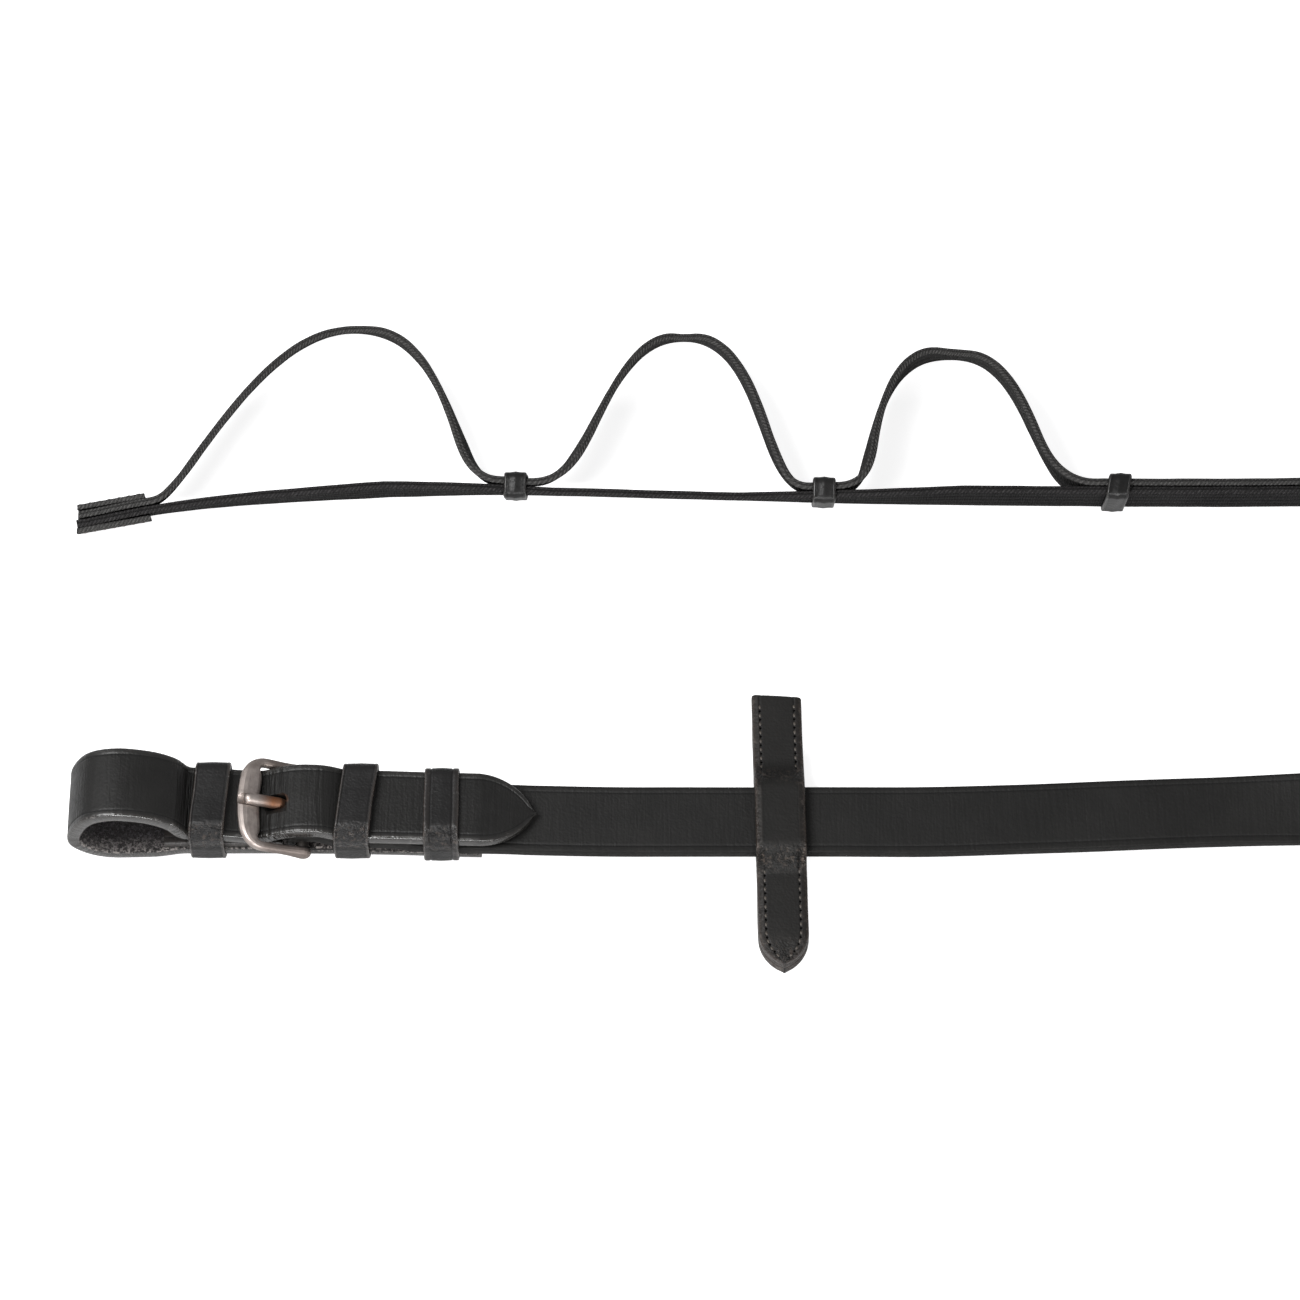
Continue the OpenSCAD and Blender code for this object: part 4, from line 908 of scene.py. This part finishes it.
def lean_at(x):
    """How far the web leans to the near side, in degrees."""
    return lookup(x, LEAN_LINE)


def web_y(x):
    """Line of the web's foot across the floor."""
    return lookup(x, web_fine)


web_r = TURN_R - (REIN_T + WEB_T) / 2 - SPLICE_GAP
web_rise = WEB_LINE[-1][1] + FLARE_R
web_end = TURN_X - math.sqrt((web_r + FLARE_R) ** 2 - web_rise ** 2)
web_flare = math.degrees(math.atan2(web_rise, web_end - TURN_X))
splice_a = math.degrees(SPLICE_L / web_r)
web_start = SLEEVE_START + WEB_INSET
plan = [Vector((x, web_y(x), 0)) for x in span(web_start, web_end - 1, 1.0)]
plan += [polar(Vector((web_end, web_rise, 0)), FLARE_R, a) for a in span(270, web_flare + 180, 0.8)]
plan += [polar(TURN_C, web_r, a) for a in span(web_flare - 0.8, LEATHER_TIP - 360 - splice_a, 0.8)]
plan_s = lengths(plan)
turn_s = next(s for s, q in zip(plan_s, plan) if q.x >= web_end - 1)
plan_t = tangents(plan)
path, sides = [], []
for q, s, t in zip(plan, plan_s, plan_t):
    past = (s - turn_s) / (3 * FLARE_R)
    a = math.radians(lean_at(q.x) if past <= 0 else LEAN_LINE[-1][1] * (1 - ease(past)))
    side = Vector((t.y * math.sin(a), -t.x * math.sin(a), math.cos(a)))
    path.append(Vector((q.x, q.y, mix(FOOT_Z, (REIN_W - WEB_W) / 2, ease(past)))) + side * WEB_W / 2)
    sides.append(side)
web = sweep("hand_web_strap", path, sides, [web_profile(WEB_W, WEB_T)] * len(path), M_WEB,
            warp=wobble(41.0, across=0.2, up=0.08, period=8))
dress(web, "rein", "webbing", "hand_web")

# ---- Loop tape: against the web at the keepers, and raised into three hand loops between them ----
pitch = (WEB_T + TAPE_T) / 2 + PAIR_GAP


def tape_foot(x):
    a = math.radians(lean_at(x))
    return Vector((x, web_y(x) + pitch * math.cos(a), FOOT_Z + pitch * math.sin(a)))


def flat_twist(x):
    return WEB_LEAN - lean_at(x) + 0.8 * ease((30 - x) / 10)


# For each loop: where its top stands between its keepers, the four handles of its curve, and its tilt in
# degrees on the way up, at the top and on the way down
LOOP_SHARE = [0.562, 0.553, 0.455]
LOOP_BEND = [(8, 27, 28.4, 14.6), (17, 22, 23, 10.5), (13, 25, 24.6, 17)]
LOOP_TWIST = [(0, 0, -1.5), (-1, 0.5, 4.8), (-1.5, 4, 6)]
LOOP_CLEAR, LOOP_STEPS = 1.2, 64
# The tape's tilts fan out slowly about one station
FAN_X, FAN_REACH = 151, 1300
loop_from = [SLEEVE_START + SLEEVE_L + 0.4] + [x + WRAP_W / 2 + LOOP_CLEAR for x in WRAP_X[:2]]
loop_to = [x - WRAP_W / 2 - LOOP_CLEAR for x in WRAP_X]


def against_web(xs):
    return [(tape_foot(x), flat_twist(x), 0.0) for x in xs]


# Foot of the tape, its tilt, and how free it is of the web
run = against_web((web_start + 0.5, 3, 6, 9, 12, 14.5))
for x0, x1, share, depth, bend, twist in zip(loop_from, loop_to, LOOP_SHARE, LOOP_DEPTH, LOOP_BEND, LOOP_TWIST):
    x = mix(x0, x1, share)
    apex = Vector((x, web_y(x) + depth, TAPE_FOOT_LOW))
    p0, p1 = tape_foot(x0), tape_foot(x1)
    b = [Vector((reach, 0, 0)) for reach in bend]
    curve = bezier(p0, p0 + b[0], apex - b[1], apex, LOOP_STEPS)
    curve += bezier(apex, apex + b[2], p1 - b[3], p1, LOOP_STEPS)[1:]
    for i, q in enumerate(curve):
        h = i / LOOP_STEPS
        if h <= 1:
            tilt = mix(mix(flat_twist(x0), twist[0], ease(h * 3)), twist[1], ease(h * 2 - 1))
        else:
            tilt = mix(mix(twist[1], twist[2], ease((h - 1) * 1.6)), flat_twist(x1), ease(h * 3 - 5))
        run.append((q, tilt, ease(h * 3) * ease(6 - h * 3)))
run += against_web(span(WRAP_X[2] + 3, WRAP_X[2] + TAPE_RUN_ON, 3))
plan_t = tangents([Vector((q.x, q.y, 0)) for q, tilt, free in run])
lean = math.radians(WEB_LEAN)
rows = []
for (q, tilt, free), t in zip(run, plan_t):
    axis = Vector(((FAN_X - q.x) / FAN_REACH, -math.sin(lean), math.cos(lean))).normalized()
    upright = (axis - t * axis.dot(t)).normalized()
    a = math.radians(tilt)
    side = upright * math.cos(a) + upright.cross(t) * math.sin(a)
    # A free loop tilts about its top edge, the rest about its foot
    rows.append((q + mix(side, upright * 2 - side, free) * WEB_W / 2, side))
rows = resample(rows, STRAP_STEP)
tape = sweep("loop_tape_strap", [r[0] for r in rows], [r[1] for r in rows],
             [web_profile(WEB_W, TAPE_T, ribs=3, groove=0.14)] * len(rows), M_TAPE,
             warp=wobble(47.0, across=0.15, up=0.06, period=6))
dress(tape, "rein", "webbing", "loop_tape")


# ---- Web keepers ----
def on_pair(x):
    """Places a piece on the standing pair of webs at a station: along, through the pair, up the web."""
    yaw = math.atan((web_y(x + 2) - web_y(x - 2)) / 4)
    turn = Matrix.Rotation(yaw, 3, "Z") @ Matrix.Rotation(math.radians(lean_at(x)), 3, "X")
    base = Vector((x, web_y(x), FOOT_Z))
    middle = Vector((0, (pitch - WEB_T / 2 + TAPE_T / 2) / 2, WEB_W / 2))
    return lambda q: base + turn @ (q + middle)


WRAP_SKEW, WRAP_CORNER = (0.2, 0.0, 1.0), 1.5
pair_t = WEB_T + PAIR_GAP + TAPE_T
wrap_y, wrap_z = (size / 2 + WRAP_GAP + WRAP_T / 2 for size in (pair_t, WEB_W))
for k, (x, skew) in enumerate(zip(WRAP_X, WRAP_SKEW)):
    wrap = band(f"web_band_{k + 1}", on_pair(x), wrap_y, -wrap_z, wrap_z, WRAP_W, WRAP_T, WRAP_CORNER, skew,
                M_WRAP, 51.0 + 3 * k, crease=0.9, depth=0.0, crown=0.22)
    dress(wrap, "rein", "keeper_leather", f"web_keeper_{k + 1}")

# ---- End sleeve: folded under the pair, open at the top, with rounded lips ----
half = pair_t / 2 + SLEEVE_GAP + SLEEVE_T
low = WEB_W / 2 + WRAP_GAP + SLEEVE_T
inner, rim_z = half - SLEEVE_T, WEB_W / 2 - 0.2
lip = [(half - 0.06, rim_z - 0.35), (half - 0.3, rim_z - 0.06), (half - 0.6, rim_z),
       (inner + 0.1, rim_z - 0.06), (inner - 0.16, rim_z - 0.35), (inner - 0.22, rim_z - 0.9)]
ring = lip + [(inner, z) for z in (4, 0, -4, SLEEVE_T - low)]
ring += [(-inner, z) for z in (SLEEVE_T - low, -4, 0, 4)]
ring += [(-y, z) for y, z in reversed(lip)] + [(-half, z) for z in (5, 0, -5, 1.0 - low)]
ring += [(0.7 - half, 0.3 - low), (1.0 - half, -low), (half - 1.0, -low), (half - 0.3, 0.3 - low)]
ring += [(half, z) for z in (1.0 - low, -5, 0, 5)]
around = outline_lengths(ring)
place = on_pair(SLEEVE_START + SLEEVE_L / 2)
verts, uvs, edge = [], [], []
count = 40
for i in range(count + 1):
    for (y, z), v in zip(ring, around):
        share = (y + half) / (2 * half)
        x = mix(mix(0, SLEEVE_INSET, share) - SLEEVE_L / 2, mix(SLEEVE_AHEAD, 0, share) + SLEEVE_L / 2, i / count)
        verts.append(place(Vector((x, y, z))))
        uvs.append((x, v))
        # The lips take the selvedges' painted highlight
        edge.append(1.0 if z > rim_z - 1.0 else 0.0)
sleeve = make_mesh("end_sleeve_fold", verts, tube_faces(count + 1, len(ring)), uvs, {"edge": edge}, M_TAPE)
dress(sleeve, "rein", "webbing", "end_sleeve")
spots = []
for row_z in (3.5, -4.5):
    for x in span(-SLEEVE_L / 2 + 2.2, SLEEVE_L / 2 - 1.6, 2.4):
        for side in (-1, 1):
            at = place(Vector((x, side * half, row_z)))
            out = (place(Vector((x, side * (half + 1), row_z))) - at).normalized()
            spots.append((at, place(Vector((x + 1, side * half, row_z))) - at, out))
dress(stitches("sleeve_stitches", spots, 1.8, 0.25, M_THREAD), "rein", "webbing")

# ---- Splice ----
backing_r = web_r - (WEB_T + BACKING_T) / 2 - SPLICE_GAP
splice_mid = Vector((0, 0, REIN_W / 2))
path = [polar(TURN_C, backing_r, a) + splice_mid for a in span(LEATHER_TIP - splice_a, LEATHER_TIP, 0.5)]
path_s = lengths(path)
sections = [leather_profile(2 * point_half(path_s[-1] - s, SPLICE_POINT, REIN_W), BACKING_T) for s in path_s]
backing = sweep("splice_leather", path, [UP] * len(path), sections, M_REIN, warp=wobble(61.0),
                marks=even(polish=0.4, wrinkle=0.05))
dress(backing, "rein", "rein_leather", "splice_backing")
SEAM_EDGE = 2.6
spots = []
for r, sign in ((TURN_R + REIN_T / 2, 1), (backing_r - BACKING_T / 2, -1)):
    for a in span(LEATHER_TIP - splice_a + 1.5, LEATHER_TIP - 3.0, 1.5):
        reach = point_half(math.radians(LEATHER_TIP - a) * TURN_R, SPLICE_POINT, REIN_W) - SEAM_EDGE
        for z in (-reach, reach):
            if reach > 1:
                at = polar(TURN_C, r, a) + splice_mid + Vector((0, 0, z))
                out = (polar(TURN_C, r + sign, a) - polar(TURN_C, r, a)).normalized()
                spots.append((at, out.cross(UP), out))
dress(stitches("splice_stitches", spots, 1.9, 0.27, M_THREAD), "rein", "rein_leather")

# ---- Camera and lights, in metres ----
TARGET = (Vector((151.2, 3.3, 0)) + SHIFT) * MM
ELEVATION, DISTANCE, FOCAL, SENSOR = math.radians(62), 1.298, 135.0, 36.0
cam_data = bpy.data.cameras.new("camera")
cam_data.lens, cam_data.sensor_width = FOCAL, SENSOR
cam = bpy.data.objects.new("camera", cam_data)
cam.location = TARGET + Vector((0, -math.cos(ELEVATION), math.sin(ELEVATION))) * DISTANCE
cam.rotation_euler = (math.pi / 2 - ELEVATION, 0, 0)
bpy.context.scene.collection.objects.link(cam)
bpy.context.scene.camera = cam


def area_light(name, place, aim, size, power, size_y=None):
    data = bpy.data.lights.new(name, "AREA")
    data.energy, data.size = power, size
    if size_y:
        data.shape, data.size_y = "RECTANGLE", size_y
    light = bpy.data.objects.new(name, data)
    light.location = place
    light.rotation_euler = (Vector(aim) - Vector(place)).to_track_quat("-Z", "Y").to_euler()
    bpy.context.scene.collection.objects.link(light)


area_light("key", (-0.50, -0.15, 0.62), (-0.2, 0, 0), 0.35, 4.5)
area_light("front", (-0.15, -0.9, 0.42), (-0.15, 0, 0), 0.9, 8, 0.08)
area_light("left", (-0.9, 0.35, 0.8), (-0.25, 0, 0), 0.5, 1.5)

# ---- World and floor: white to the camera, softer to the piece ----
world = bpy.data.worlds.new("world")
world.use_nodes = True
bpy.context.scene.world = world
wt = world.node_tree
sky = wt.nodes["Background"]
ray = node(wt, "ShaderNodeLightPath")
direction = node(wt, "ShaderNodeTexCoord").outputs["Generated"]
height = node(wt, "ShaderNodeSeparateXYZ", {"Vector": direction}).outputs["Z"]
tone = blend_rgb(wt, ramp(wt, height, 0.10, 0.75, 0.0, 1.0), (0.48, 0.48, 0.49), (0.29, 0.29, 0.295))
wt.links.new(blend_rgb(wt, ray.outputs["Is Camera Ray"], tone, (1.0, 1.0, 1.0)), sky.inputs["Color"])

fm, ft, fb = nodes_of("floor white")
fb.inputs["Base Color"].default_value = (0.6, 0.6, 0.6, 1)
fb.inputs["Roughness"].default_value = 0.8
fb.inputs["Specular IOR Level"].default_value = 0.1
ray = node(ft, "ShaderNodeLightPath")
glow_seen = node(ft, "ShaderNodeEmission", {"Color": (1, 1, 1, 1), "Strength": 0.82})
glow_lit = node(ft, "ShaderNodeEmission", {"Color": (1, 1, 1, 1), "Strength": 0.05})
seen, lit = node(ft, "ShaderNodeAddShader"), node(ft, "ShaderNodeAddShader")
for add, glow in ((seen, glow_seen), (lit, glow_lit)):
    ft.links.new(fb.outputs[0], add.inputs[0])
    ft.links.new(glow.outputs[0], add.inputs[1])
pick = node(ft, "ShaderNodeMixShader", {"Fac": ray.outputs["Is Camera Ray"]})
ft.links.new(lit.outputs[0], pick.inputs[1])
ft.links.new(seen.outputs[0], pick.inputs[2])
ft.links.new(pick.outputs[0], ft.nodes["Material Output"].inputs["Surface"])
FLOOR_HALF, FLOOR_DROP = 6.0, 0.0002
corners = [(x * FLOOR_HALF, y * FLOOR_HALF, 0) for x, y in ((-1, -1), (1, -1), (1, 1), (-1, 1))]
mesh = bpy.data.meshes.new("floor")
mesh.from_pydata(corners, [], [(0, 1, 2, 3)])
mesh.materials.append(fm)
floor = bpy.data.objects.new("floor", mesh)
floor.location.z = -FLOOR_DROP
bpy.context.scene.collection.objects.link(floor)

bpy.context.scene.view_settings.view_transform = "Standard"
